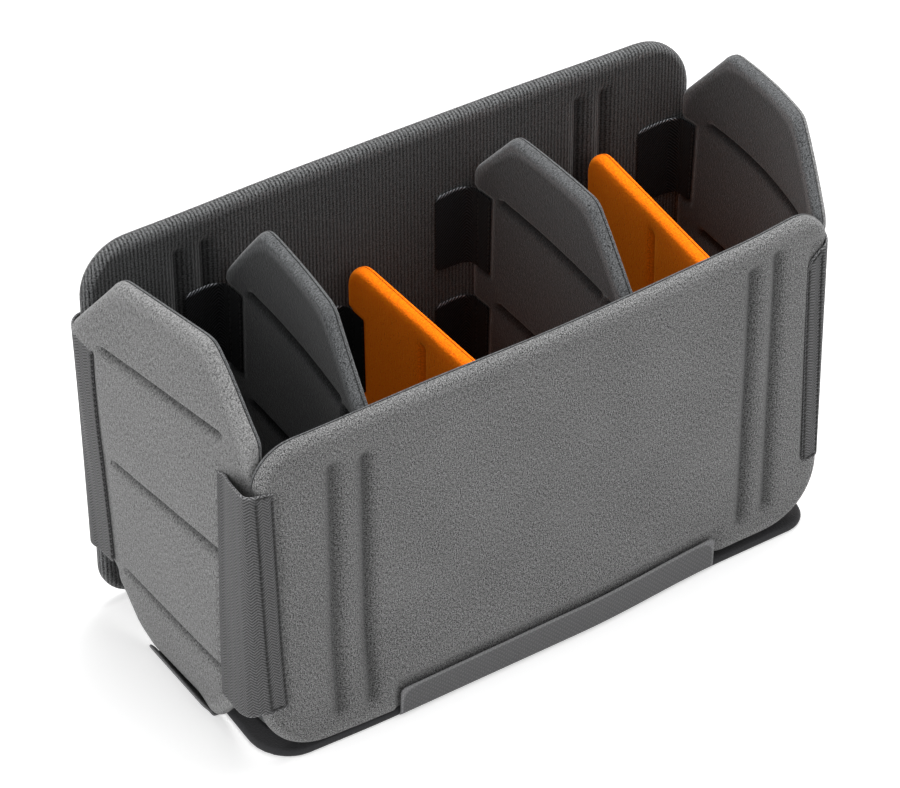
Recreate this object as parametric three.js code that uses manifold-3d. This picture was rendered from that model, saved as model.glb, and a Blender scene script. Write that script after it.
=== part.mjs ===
// Padded divider insert of a camera shoulder bag: four moulded foam walls on a padded base, joined by
// sewn webbing, with two tall and two low dividers that hold on by hook tabs. Millimetres, +Z up, the
// long front wall faces -Y, and the origin is the middle of the bounding box, on the ground.
import * as THREE from "three";
import { mergeVertices } from "three/addons/utils/BufferGeometryUtils.js";
import Module from "manifold-3d";

const wasm = await Module();
wasm.setup();

// Driving dimensions
const bodyDepth = 142;
const rearWallLength = 330;
const rearWallHeight = 195;
const frontWallHeight = 167;
const frontLeftSetback = 1.5; // how far the front wall ends short of the rear one, at each end
const frontRightSetback = 20.5;
const endWallHeight = 200.5;
const tallDividerHeight = 192;
const lowDividerHeight = 140;
const panelThickness = 8;

// Layers of a panel
const faceThickness = 5.4; // the moulded skin that wraps over the rim
const faceRim = 3.4;
const backingRim = 1.7;
const boardThickness = 1.2;
const boardMargin = 16;
const boardCorner = 3;
const fitGap = 0.3;
const cutOverrun = 4;

// Outlines
const frontTopCorner = 22;
const frontBottomCorner = 33;
const rearTopLeftCorner = 20;
const rearTopRightCorner = 34;
const rearBottomCorner = 22;
const topChamferRun = 34;
const topChamferRise = 38;
const bottomChamferRun = 37;
const bottomChamferRise = 29;
const chamferRounding = 9;
const lowDividerTopCorner = 15;
const lowDividerBottomCorner = 18;
const panelEndGap = 0.5;

// Pressed grooves
const grooveWidth = 5.2;
const grooveDepth = 1.9;
const backGrooveDepth = 0.9;
const longWallGrooveOffsets = [103.5, 118.5]; // from the middle of the pattern, on both sides
const longWallGrooveBottom = 13;
const longWallGrooveTop = 19; // below the wall's top edge
const frontGrooveMiddle = -3.7;
const endGrooveHeights = [31, 93, 155]; // above the panel's bottom edge
const endGrooveMargin = 23; // from a groove's round end to the outline
const leftEndGrooveRise = 8; // how much higher the left end wall's grooves lie
const lowGrooveMargin = 12; // from the ends of the low divider's upright groove to its outline

// Base and floor
const baseThickness = 4.6;
const baseOverhang = 0.5;
const baseFrontCorner = 22;
const baseRearCorner = 30;
const baseRearSetback = 11; // how far the base's rear left corner stands in under the end wall
const baseRightSetback = 4; // the same at its right end
const baseRim = 2.2;
const floorThickness = 4;
const floorFrontCorner = 14;
const floorRearCorner = 22;
const floorGap = 1;

// Webbing
const webbing = 1.2;
const recessDepth = 1.6;
const cornerClearance = 1.4; // between a corner webbing and the wall end that it passes
const cornerRounding = 6;
const cornerLegOnEnd = 19;
const cornerStandOff = 12; // how far before the end wall's end the webbing leaves it
const cornerLegOnLong = 14;
const frontLeftBottom = 26; // heights of the corner webbings' lower and upper edges
const frontLeftTop = 150;
const frontRightBottom = 40;
const frontRightTop = 158;
const rearBottom = 34;
const rearTop = 161;
const cornerWebbings = [
  { long: "front", end: "left", bottom: frontLeftBottom, top: frontLeftTop },
  { long: "front", end: "right", bottom: frontRightBottom, top: frontRightTop },
  { long: "rear", end: "left", bottom: rearBottom, top: rearTop },
  { long: "rear", end: "right", bottom: rearBottom, top: rearTop },
];
const longStripLength = 176;
const endStripLength = 50;
const longStripTop = 18; // height of a base strip's upper edge above the ground
const endStripTop = 11;
const longStripFoot = 9; // how far a base strip reaches in from the wall's face, under the base
const endStripFoot = 16;
const frontStripMiddle = -3;

// Hook tabs
const tabMargin = 21; // the sewn part on the panel
const tabLength = 17; // the free part on the wall
const tabHeight = 44;
const tabClip = 4; // the clipped corners of the free end
const tallTabHeights = [66, 127]; // middles of a tall divider's tabs, above its bottom edge
const lowTabHeights = [88];
const endTabHeight = 126; // middle of an end wall's inner tab, above the wall's bottom edge
const tabCorner = 1.2; // the rounding of the tape's cut corners
const tabEdgeGap = 1.2; // from webbing to the rim of the recess that holds it

// Places along X: the middle of each upright's thickness at its middle, and its turn about Z
const leftWallInset = 6; // from the rear wall's end to the middle of the end wall
const rightWallInset = 11.5;
const leftWallTurn = THREE.MathUtils.degToRad(2.7);
const rightWallTurn = THREE.MathUtils.degToRad(-7.7);
const leftTallMiddle = -95;
const leftLowMiddle = -27;
const rightTallMiddle = 40;
const rightLowMiddle = 102.5;
const rightLowLift = 3; // the right low divider is pushed in a little less deep
const tallTurn = THREE.MathUtils.degToRad(-2);
const lowTurn = THREE.MathUtils.degToRad(-1);
const dividers = [
  { name: "left_tall_divider", tall: true, middle: leftTallMiddle, turn: tallTurn, lift: 0 },
  { name: "left_low_divider", tall: false, middle: leftLowMiddle, turn: lowTurn, lift: 0 },
  { name: "right_tall_divider", tall: true, middle: rightTallMiddle, turn: tallTurn, lift: 0 },
  { name: "right_low_divider", tall: false, middle: rightLowMiddle, turn: rightWallTurn, lift: rightLowLift },
];

// Worked out from the driving dimensions
const frontWallLength = rearWallLength - frontLeftSetback - frontRightSetback;
const frontWallShift = (frontLeftSetback - frontRightSetback) / 2;
const leftWallMiddle = leftWallInset - rearWallLength / 2;
const rightWallMiddle = rearWallLength / 2 - rightWallInset;
const innerDepth = bodyDepth - 2 * panelThickness;
const innerWallY = innerDepth / 2;
const wallMiddleY = (bodyDepth - panelThickness) / 2;
const seamW = panelThickness / 2 - faceThickness;
const wallBottom = baseThickness + fitGap;
const floorTop = wallBottom + floorThickness;
const dividerBottom = floorTop + fitGap;

// Materials
const greyFelt = { color: 0x727272, roughness: 0.95, metalness: 0 };
const paleFelt = { color: 0x8a8a8a, roughness: 0.95, metalness: 0 };
const darkLoop = { color: 0x343434, roughness: 0.98, metalness: 0 };
const orangeFelt = { color: 0xe8780c, roughness: 0.95, metalness: 0 };
const charcoalBase = { color: 0x2b2b2b, roughness: 0.85, metalness: 0 };
const boardPlastic = { color: 0xd8d8d0, roughness: 0.6, metalness: 0 };
const twillWebbing = { color: 0x4c4c4c, roughness: 0.8, metalness: 0 };
const stripWebbing = { color: 0x555555, roughness: 0.8, metalness: 0 };
const blackTab = { color: 0x161616, roughness: 0.85, metalness: 0 };

const insert = new THREE.Group();

function addMesh(parent, name, geometry, look) {
  const mesh = new THREE.Mesh(geometry, new THREE.MeshStandardMaterial(look));
  mesh.name = name;
  parent.add(mesh);
  return mesh;
}

// An upright's frame: geometry X runs along the panel, Y goes up and Z out of its moulded face.
function uprightFrame(x, y, z, turn) {
  const place = new THREE.Group();
  place.position.set(x, y, z);
  place.rotation.z = turn;
  const stand = new THREE.Group();
  stand.rotation.x = Math.PI / 2;
  place.add(stand);
  insert.add(place);
  return stand;
}

// Corners given as [u, v, radius] become a line of points with each corner rounded by an arc.
function roundedPath(corners, closed) {
  const arcSteps = 4;
  const points = [];
  corners.forEach(([u, v, radius], index) => {
    const at = new THREE.Vector2(u, v);
    const isEnd = !closed && (index === 0 || index === corners.length - 1);
    if (isEnd || radius === 0) {
      points.push(at);
      return;
    }
    const before = corners[(index + corners.length - 1) % corners.length];
    const after = corners[(index + 1) % corners.length];
    const back = new THREE.Vector2(before[0], before[1]).sub(at).normalize();
    const ahead = new THREE.Vector2(after[0], after[1]).sub(at).normalize();
    const halfAngle = Math.acos(THREE.MathUtils.clamp(back.dot(ahead), -1, 1)) / 2;
    const reach = radius / Math.tan(halfAngle);
    const bisector = back.clone().add(ahead).normalize();
    const centre = at.clone().addScaledVector(bisector, radius / Math.sin(halfAngle));
    const start = at.clone().addScaledVector(back, reach).sub(centre);
    const sweep = Math.PI - 2 * halfAngle;
    const way = Math.sign(ahead.cross(back));
    for (let step = 0; step <= arcSteps; step += 1) {
      const angle = (way * sweep * step) / arcSteps;
      points.push(start.clone().rotateAround(new THREE.Vector2(), angle).add(centre));
    }
  });
  return points;
}

// The outline moved inwards by one distance: each point goes along the mitre of its two edges.
function insetOutline(outline, distance) {
  return outline.map((point, index) => {
    const before = outline[(index + outline.length - 1) % outline.length];
    const after = outline[(index + 1) % outline.length];
    const edgeIn = point.clone().sub(before).normalize();
    const edgeOut = after.clone().sub(point).normalize();
    const normalIn = new THREE.Vector2(-edgeIn.y, edgeIn.x);
    const normalOut = new THREE.Vector2(-edgeOut.y, edgeOut.x);
    const mitre = normalIn.clone().add(normalOut).normalize();
    return point.clone().addScaledVector(mitre, distance / mitre.dot(normalOut));
  });
}

// Sharp corners [u, v, radius] moved inwards by one distance, each with a radius for the smaller shape.
function insetCorners(corners, distance) {
  const sharp = insetOutline(corners.map(([u, v]) => new THREE.Vector2(u, v)), distance);
  return sharp.map((point, index) => {
    return [point.x, point.y, Math.max(corners[index][2] - distance, boardCorner)];
  });
}

// A closed body through rings of one outline, each ring [inset, height], capped at both ends.
function ringBody(outline, rings) {
  const count = outline.length;
  const positions = [];
  const triangles = [];
  rings.forEach(([inset, height]) => {
    insetOutline(outline, inset).forEach((point) => positions.push(point.x, point.y, height));
  });
  for (let ring = 0; ring < rings.length - 1; ring += 1) {
    for (let index = 0; index < count; index += 1) {
      const next = (index + 1) % count;
      const low = ring * count;
      const high = low + count;
      triangles.push(low + index, low + next, high + next);
      triangles.push(low + index, high + next, high + index);
    }
  }
  const caps = THREE.ShapeUtils.triangulateShape(outline, []);
  const top = (rings.length - 1) * count;
  caps.forEach(([a, b, c]) => {
    triangles.push(c, b, a);
    triangles.push(top + a, top + b, top + c);
  });
  const geometry = new THREE.BufferGeometry();
  geometry.setAttribute("position", new THREE.Float32BufferAttribute(positions, 3));
  geometry.setIndex(triangles);
  return geometry;
}

// Rings of a slab from one height to another, with its rim rounded at the top, the bottom or both.
function slabRings(low, high, lowRim, highRim) {
  const rings = [];
  const slope = Math.SQRT1_2;
  if (lowRim > 0) {
    rings.push([lowRim, low]);
    rings.push([lowRim * (1 - slope), low + lowRim * (1 - slope)]);
  }
  rings.push([0, low + lowRim]);
  rings.push([0, high - highRim]);
  if (highRim > 0) {
    rings.push([highRim * (1 - slope), high - highRim * (1 - slope)]);
    rings.push([highRim, high]);
  }
  return rings;
}

function solidOf(geometry) {
  const bare = geometry.clone();
  bare.deleteAttribute("normal");
  bare.deleteAttribute("uv");
  const merged = mergeVertices(bare, fitGap / 1000);
  const vertProperties = new Float32Array(merged.attributes.position.array);
  const triVerts = new Uint32Array(merged.index.array);
  return new wasm.Manifold(new wasm.Mesh({ numProp: 3, vertProperties, triVerts }));
}

function cutFrom(geometry, cutters) {
  const carved = cutters.reduce((left, cutter) => left.subtract(solidOf(cutter)), solidOf(geometry));
  const mesh = carved.getMesh();
  const result = new THREE.BufferGeometry();
  result.setAttribute("position", new THREE.Float32BufferAttribute(mesh.vertProperties, 3));
  result.setIndex(Array.from(mesh.triVerts));
  return result;
}

// A groove's cutter: a round-ended rod that dips into a face at height w by the groove's depth.
function grooveCutter(from, to, w, depth, side) {
  const radius = (grooveWidth * grooveWidth) / (8 * depth) + depth / 2;
  const run = new THREE.Vector2().subVectors(to, from);
  const rod = new THREE.CapsuleGeometry(radius, run.length() - grooveWidth, 3, 12);
  rod.rotateZ(run.angle() - Math.PI / 2);
  rod.translate((from.x + to.x) / 2, (from.y + to.y) / 2, w + side * (radius - depth));
  return rod;
}

function boxBetween(low, high) {
  const size = new THREE.Vector3().subVectors(high, low);
  const box = new THREE.BoxGeometry(size.x, size.y, size.z);
  box.translate((low.x + high.x) / 2, (low.y + high.y) / 2, (low.z + high.z) / 2);
  return box;
}

// A recess for webbing at one end of a panel, on the face at w, from height bottom to top.
function recessCutter(edge, inward, bottom, top, w, side) {
  const outer = edge - Math.sign(inward) * cutOverrun;
  const inner = edge + inward;
  const floor = w - side * recessDepth;
  const above = w + side * cutOverrun;
  const low = new THREE.Vector3(Math.min(outer, inner), bottom, Math.min(floor, above));
  const high = new THREE.Vector3(Math.max(outer, inner), top, Math.max(floor, above));
  return boxBetween(low, high);
}

// A panel is a moulded face skin and a thin backing skin that meet at the rim's seam, and a stiffener
// board in a pocket between them.
function addPanel(frame, name, spec) {
  const faceTop = panelThickness / 2;
  const faceCuts = [...spec.faceCuts];
  spec.grooves.forEach(([from, to]) => faceCuts.push(grooveCutter(from, to, faceTop, grooveDepth, 1)));
  const backCuts = [...spec.backCuts];
  if (spec.grooveBack) {
    spec.grooves.forEach(([from, to]) => {
      backCuts.push(grooveCutter(from, to, -faceTop, backGrooveDepth, -1));
    });
  }
  const faceLow = seamW + fitGap / 2;
  if (spec.board) {
    const pocket = ringBody(
      roundedPath(insetCorners(spec.corners, boardMargin), true),
      slabRings(faceLow - cutOverrun, faceLow + boardThickness + fitGap, 0, 0),
    );
    faceCuts.push(pocket);
    const board = ringBody(
      roundedPath(insetCorners(spec.corners, boardMargin + fitGap), true),
      slabRings(faceLow, faceLow + boardThickness, 0, 0),
    );
    addMesh(frame, `${name}_board`, board, boardPlastic);
  }
  const outline = roundedPath(spec.corners, true);
  const face = ringBody(outline, slabRings(faceLow, faceTop, 0, faceRim));
  const back = ringBody(outline, slabRings(-faceTop, seamW - fitGap / 2, backingRim, 0));
  addMesh(frame, `${name}_face_skin`, cutFrom(face, faceCuts), spec.faceLook);
  addMesh(frame, `${name}_back_skin`, cutFrom(back, backCuts), spec.backLook);
}

// The tall eight-sided outline that the end walls and the tall dividers share.
function tallCorners(length, height) {
  const half = length / 2;
  return [
    [half - bottomChamferRun, 0, chamferRounding],
    [half, bottomChamferRise, chamferRounding],
    [half, height - topChamferRise, chamferRounding],
    [half - topChamferRun, height, chamferRounding],
    [topChamferRun - half, height, chamferRounding],
    [-half, height - topChamferRise, chamferRounding],
    [-half, bottomChamferRise, chamferRounding],
    [bottomChamferRun - half, 0, chamferRounding],
  ];
}

function boxCorners(length, height, bottomCorner, topRightCorner, topLeftCorner) {
  const half = length / 2;
  return [
    [-half, 0, bottomCorner],
    [half, 0, bottomCorner],
    [half, height, topRightCorner],
    [-half, height, topLeftCorner],
  ];
}

// Grooves across a tall panel: each runs from edge to edge at its height, less a margin.
function tallGrooves(length, rise) {
  return endGrooveHeights.map((standard) => {
    const height = standard + rise;
    const lost = (bottomChamferRun * Math.max(0, bottomChamferRise - height)) / bottomChamferRise;
    const reach = length / 2 - lost - endGrooveMargin;
    return [new THREE.Vector2(-reach, height), new THREE.Vector2(reach, height)];
  });
}

function longWallGrooves(middle, height) {
  const places = longWallGrooveOffsets.flatMap((offset) => [middle - offset, middle + offset]);
  return places.map((u) => [
    new THREE.Vector2(u, longWallGrooveBottom),
    new THREE.Vector2(u, height - longWallGrooveTop),
  ]);
}

// Half the length of a turned upright whose corners keep a gap to the long walls' inner faces.
function uprightHalfLength(turn) {
  const thicknessRun = (panelThickness / 2) * Math.sin(Math.abs(turn));
  return (innerWallY - panelEndGap - thicknessRun) / Math.cos(turn);
}

// Where a point of a turned upright lies in plan: u runs towards the front, w out of the moulded face.
function uprightPoint(middle, turn, u, w) {
  return new THREE.Vector2(
    middle + u * Math.sin(turn) - w * Math.cos(turn),
    -u * Math.cos(turn) - w * Math.sin(turn),
  );
}

// The u at which a line parallel to a turned upright's face, at w, reaches the plane y.
function uprightReach(turn, w, y) {
  return -(y + w * Math.sin(turn)) / Math.cos(turn);
}

// A hook tab: the margin is sewn into a recess of the panel's face, and the free part folds round to
// lie on the long wall. End is 1 at the front wall and -1 at the rear one, side is 1 on the moulded face.
function addTab(name, middle, turn, bottom, height, end, side) {
  const half = uprightHalfLength(turn);
  const faceW = side * (panelThickness / 2);
  const frame = uprightFrame(middle, 0, bottom, turn - Math.PI / 2);
  const marginLow = faceW - side * (recessDepth - fitGap);
  const marginHigh = marginLow + side * webbing;
  const outerEdge = end * (half - fitGap);
  const innerEdge = end * (half - tabMargin);
  const marginOutline = roundedPath(
    [
      [Math.min(outerEdge, innerEdge), height - tabHeight / 2, tabCorner],
      [Math.max(outerEdge, innerEdge), height - tabHeight / 2, tabCorner],
      [Math.max(outerEdge, innerEdge), height + tabHeight / 2, tabCorner],
      [Math.min(outerEdge, innerEdge), height + tabHeight / 2, tabCorner],
    ],
    true,
  );
  const marginRings = slabRings(Math.min(marginLow, marginHigh), Math.max(marginLow, marginHigh), 0, 0);
  addMesh(frame, `${name}_margin`, ringBody(marginOutline, marginRings), blackTab);

  const hingeW = faceW + side * (fitGap + webbing / 2);
  const hingeY = -end * (innerWallY - fitGap - webbing / 2);
  const hinge = uprightPoint(middle, turn, uprightReach(turn, hingeW, hingeY), hingeW);
  const flapFrame = uprightFrame(hinge.x, hinge.y, bottom + height, 0);
  const away = -side;
  const tip = away * tabLength;
  const flapOutline = roundedPath(
    [
      [0, -tabHeight / 2, 0],
      [tip - away * tabClip, -tabHeight / 2, tabCorner],
      [tip, tabClip - tabHeight / 2, tabCorner],
      [tip, tabHeight / 2 - tabClip, tabCorner],
      [tip - away * tabClip, tabHeight / 2, tabCorner],
      [0, tabHeight / 2, 0],
    ],
    true,
  );
  if (away < 0) {
    flapOutline.reverse();
  }
  const flap = ringBody(flapOutline, slabRings(-webbing / 2, webbing / 2, 0, 0));
  addMesh(flapFrame, `${name}_flap`, flap, blackTab);
}

// Recess cutters for tabs at the given heights, at one or both ends of a panel.
function tabRecesses(half, heights, ends, side) {
  const face = side * (panelThickness / 2);
  return heights.flatMap((height) =>
    ends.map((end) =>
      recessCutter(
        end * half,
        -end * (tabMargin + tabEdgeGap),
        height - tabHeight / 2 - tabEdgeGap,
        height + tabHeight / 2 + tabEdgeGap,
        face,
        side,
      ),
    ),
  );
}

// Long walls
const walls = {
  front: {
    y: -wallMiddleY,
    shift: frontWallShift,
    length: frontWallLength,
    height: frontWallHeight,
    corners: boxCorners(frontWallLength, frontWallHeight, frontBottomCorner, frontTopCorner, frontTopCorner),
    grooveMiddle: frontGrooveMiddle,
  },
  rear: {
    y: wallMiddleY,
    shift: 0,
    length: rearWallLength,
    height: rearWallHeight,
    corners: boxCorners(
      rearWallLength,
      rearWallHeight,
      rearBottomCorner,
      rearTopRightCorner,
      rearTopLeftCorner,
    ),
    grooveMiddle: 0,
  },
};

// Corner webbing legs lie in recesses of the front wall's moulded face.
function frontWallRecesses() {
  const face = panelThickness / 2;
  return cornerWebbings
    .filter((item) => item.long === "front")
    .map((item) => {
      const end = item.end === "left" ? -1 : 1;
      return recessCutter(
        (end * frontWallLength) / 2,
        -end * (cornerLegOnLong + tabEdgeGap),
        item.bottom - wallBottom - tabEdgeGap,
        item.top - wallBottom + tabEdgeGap,
        face,
        1,
      );
    });
}

function addLongWall(side) {
  const wall = walls[side];
  const isFront = side === "front";
  const frame = uprightFrame(wall.shift, wall.y, wallBottom, 0);
  addPanel(frame, `${side}_wall`, {
    corners: wall.corners,
    grooves: longWallGrooves(wall.grooveMiddle - wall.shift, wall.height),
    grooveBack: !isFront,
    board: true,
    faceCuts: isFront ? frontWallRecesses() : [],
    backCuts: [],
    faceLook: isFront ? greyFelt : darkLoop,
    backLook: isFront ? darkLoop : greyFelt,
  });
}

// End walls: the left one's moulded face points out of the insert, the right one's into it.
const endWalls = {
  left: { middle: leftWallMiddle, turn: leftWallTurn, tabSide: -1, grooveRise: leftEndGrooveRise },
  right: { middle: rightWallMiddle, turn: rightWallTurn, tabSide: 1, grooveRise: 0 },
};

// Recesses of an end wall's outer face, for the legs of its two corner webbings.
function endWallRecesses(endSide, half) {
  const face = endSide === "left" ? 1 : -1;
  return cornerWebbings
    .filter((item) => item.end === endSide)
    .map((item) => {
      const end = item.long === "front" ? 1 : -1;
      return recessCutter(
        end * half,
        -end * (cornerLegOnEnd + tabEdgeGap),
        item.bottom - wallBottom - tabEdgeGap,
        item.top - wallBottom + tabEdgeGap,
        (face * panelThickness) / 2,
        face,
      );
    });
}

function addEndWall(side) {
  const wall = endWalls[side];
  const isLeft = side === "left";
  const half = uprightHalfLength(wall.turn);
  const frame = uprightFrame(wall.middle, 0, wallBottom, wall.turn - Math.PI / 2);
  const tabCuts = tabRecesses(half, [endTabHeight], [-1], wall.tabSide);
  const webbingCuts = endWallRecesses(side, half);
  addPanel(frame, `${side}_end_wall`, {
    corners: tallCorners(2 * half, endWallHeight),
    grooves: tallGrooves(2 * half, wall.grooveRise),
    grooveBack: !isLeft,
    board: true,
    faceCuts: isLeft ? webbingCuts : tabCuts,
    backCuts: isLeft ? tabCuts : webbingCuts,
    faceLook: isLeft ? paleFelt : darkLoop,
    backLook: isLeft ? darkLoop : paleFelt,
  });
  addTab(`${side}_end_wall_tab`, wall.middle, wall.turn, wallBottom, endTabHeight, -1, wall.tabSide);
}

// Dividers
function addDivider(item) {
  const half = uprightHalfLength(item.turn);
  const bottom = dividerBottom + item.lift;
  const frame = uprightFrame(item.middle, 0, bottom, item.turn - Math.PI / 2);
  const tabHeights = item.tall ? tallTabHeights : lowTabHeights;
  const lowGroove = [
    new THREE.Vector2(0, lowGrooveMargin),
    new THREE.Vector2(0, lowDividerHeight - lowGrooveMargin),
  ];
  const lowCorners = boxCorners(
    2 * half,
    lowDividerHeight,
    lowDividerBottomCorner,
    lowDividerTopCorner,
    lowDividerTopCorner,
  );
  addPanel(frame, item.name, {
    corners: item.tall ? tallCorners(2 * half, tallDividerHeight) : lowCorners,
    grooves: item.tall ? tallGrooves(2 * half, 0) : [lowGroove],
    grooveBack: false,
    board: item.tall,
    faceCuts: tabRecesses(half, tabHeights, [-1, 1], 1),
    backCuts: [],
    faceLook: item.tall ? darkLoop : orangeFelt,
    backLook: item.tall ? darkLoop : orangeFelt,
  });
  tabHeights.forEach((height, level) => {
    const levelName = item.tall ? ["lower_", "upper_"][level] : "";
    addTab(`${item.name}_rear_${levelName}tab`, item.middle, item.turn, bottom, height, -1, 1);
    addTab(`${item.name}_front_${levelName}tab`, item.middle, item.turn, bottom, height, 1, 1);
  });
}

// X of the point on an end wall's outer face that lies at y, moved outwards by a distance.
function endWallOuterX(side, y, outwards) {
  const wall = endWalls[side];
  const faceSide = side === "left" ? 1 : -1;
  const w = faceSide * (panelThickness / 2 + outwards);
  return uprightPoint(wall.middle, wall.turn, uprightReach(wall.turn, w, y), w).x;
}

// A strip of webbing standing on edge: its middle line in plan, thickened and raised between two heights.
function standingStrip(name, middleLine, bottom, top, look) {
  const openEnds = middleLine.map((point, index) => {
    const before = middleLine[Math.max(0, index - 1)];
    const after = middleLine[Math.min(middleLine.length - 1, index + 1)];
    const along = after.clone().sub(before).normalize();
    return { point, across: new THREE.Vector2(-along.y, along.x) };
  });
  const left = openEnds.map(({ point, across }) => point.clone().addScaledVector(across, webbing / 2));
  const right = openEnds.map(({ point, across }) => point.clone().addScaledVector(across, -webbing / 2));
  const outline = [...right, ...left.reverse()];
  if (THREE.ShapeUtils.area(outline) < 0) {
    outline.reverse();
  }
  addMesh(insert, name, ringBody(outline, slabRings(bottom, top, 0, 0)), look);
}

// Corner webbing: one leg on an end wall, round the corner, and one leg on a long wall.
function addCornerWebbing(item) {
  const outY = item.long === "front" ? -1 : 1;
  const outX = item.end === "left" ? -1 : 1;
  const wall = walls[item.long];
  const onSurface = fitGap + webbing / 2;
  const inRecess = onSurface - recessDepth;
  const longOffset = item.long === "front" ? inRecess : onSurface;
  const legEndY = outY * (innerWallY - panelEndGap - cornerLegOnEnd);
  const wallEndX = wall.shift + (outX * wall.length) / 2;
  const bendY = outY * innerWallY;
  const bendX = endWallOuterX(item.end, bendY, 0);
  const cornerX = outX * (Math.max(outX * wallEndX, outX * bendX) + cornerClearance + webbing / 2);
  const cornerY = outY * (bodyDepth / 2 + longOffset);
  const standOffY = outY * (innerWallY - panelEndGap - cornerStandOff);
  const line = roundedPath(
    [
      [endWallOuterX(item.end, legEndY, inRecess), legEndY, 0],
      [endWallOuterX(item.end, standOffY, inRecess), standOffY, cornerRounding],
      [cornerX, bendY, cornerRounding],
      [cornerX, outY * (bodyDepth / 2 + cornerClearance + webbing / 2), cornerRounding / 2],
      [wallEndX - (outX * cornerLegOnLong) / 2, cornerY, cornerRounding],
      [wallEndX - outX * cornerLegOnLong, cornerY, 0],
    ],
    false,
  );
  standingStrip(`${item.long}_${item.end}_corner_webbing`, line, item.bottom, item.top, twillWebbing);
}

// Base and floor: both follow the slanted plan that the four walls enclose.
function planCorner(endSide, y, outwards) {
  return [endWallOuterX(endSide, y, outwards), y];
}

function addBase() {
  const outY = bodyDepth / 2 + baseOverhang;
  const corners = [
    [...planCorner("left", -outY, 0), baseFrontCorner],
    [...planCorner("right", -outY, -baseRightSetback), baseFrontCorner],
    [...planCorner("right", outY, -baseRightSetback), baseRearCorner],
    [...planCorner("left", outY, -baseRearSetback), baseRearCorner],
  ];
  const slab = ringBody(roundedPath(corners, true), slabRings(0, baseThickness, baseRim, 0));
  const rebateTop = webbing + fitGap;
  const rebates = stripSpecs().map((strip) => {
    const run = strip.length / 2 + tabEdgeGap;
    const box = boxBetween(
      new THREE.Vector3(-run, -cutOverrun - webbing, -cutOverrun),
      new THREE.Vector3(run, strip.foot + fitGap, rebateTop),
    );
    box.rotateZ(strip.turn);
    box.translate(strip.x, strip.y, 0);
    return box;
  });
  addMesh(insert, "base_shell", cutFrom(slab, rebates), charcoalBase);

  const inY = innerWallY - floorGap;
  const inward = -panelThickness - floorGap;
  const floorCorners = [
    [...planCorner("left", -inY, inward), floorFrontCorner],
    [...planCorner("right", -inY, inward - baseRightSetback), floorFrontCorner],
    [...planCorner("right", inY, inward - baseRightSetback), floorRearCorner],
    [...planCorner("left", inY, inward - baseRearSetback), floorRearCorner],
  ];
  const floor = ringBody(roundedPath(floorCorners, true), slabRings(wallBottom, floorTop, 0, floorGap));
  addMesh(insert, "floor_pad", floor, darkLoop);
}

// Base strips: in a strip's own frame it runs along X, its upright leg stands on the line y = 0 and its
// foot points along +Y, in under the base.
function stripSpecs() {
  const longY = bodyDepth / 2 + baseOverhang;
  return [
    {
      name: "front_base_strip",
      x: frontStripMiddle,
      y: -longY,
      turn: 0,
      length: longStripLength,
      top: longStripTop,
      foot: longStripFoot,
    },
    {
      name: "rear_base_strip",
      x: 0,
      y: longY,
      turn: Math.PI,
      length: longStripLength,
      top: longStripTop,
      foot: longStripFoot,
    },
    {
      name: "left_base_strip",
      x: endWallOuterX("left", 0, 0),
      y: 0,
      turn: leftWallTurn - Math.PI / 2,
      length: endStripLength,
      top: endStripTop,
      foot: endStripFoot,
    },
    {
      name: "right_base_strip",
      x: endWallOuterX("right", 0, 0),
      y: 0,
      turn: rightWallTurn + Math.PI / 2,
      length: endStripLength,
      top: endStripTop,
      foot: endStripFoot,
    },
  ];
}

function addBaseStrip(strip) {
  const outer = -fitGap - webbing;
  const profile = roundedPath(
    [
      [outer, 0, webbing],
      [strip.foot, 0, 0],
      [strip.foot, webbing, 0],
      [-fitGap, webbing, 0],
      [-fitGap, strip.top, 0],
      [outer, strip.top, 0],
    ],
    true,
  );
  const half = strip.length / 2;
  const body = ringBody(profile, slabRings(-half, half, 0, 0));
  const mesh = addMesh(insert, strip.name, body, stripWebbing);
  const alongY = new THREE.Vector3(0, 1, 0);
  const upwards = new THREE.Vector3(0, 0, 1);
  const alongX = new THREE.Vector3(1, 0, 0);
  mesh.quaternion.setFromRotationMatrix(new THREE.Matrix4().makeBasis(alongY, upwards, alongX));
  const place = new THREE.Group();
  place.position.set(strip.x, strip.y, 0);
  place.rotation.z = strip.turn;
  place.add(mesh);
  insert.add(place);
}

addLongWall("front");
addLongWall("rear");
addEndWall("left");
addEndWall("right");
addBase();
stripSpecs().forEach(addBaseStrip);
cornerWebbings.forEach(addCornerWebbing);
dividers.forEach(addDivider);

// The origin goes to the middle of the bounding box, on the ground.
insert.updateMatrixWorld(true);
const bounds = new THREE.Box3().setFromObject(insert, true);
const middle = bounds.getCenter(new THREE.Vector3());
insert.position.set(-middle.x, -middle.y, -bounds.min.z);

const part = new THREE.Group();
part.add(insert);

export default part;
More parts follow.
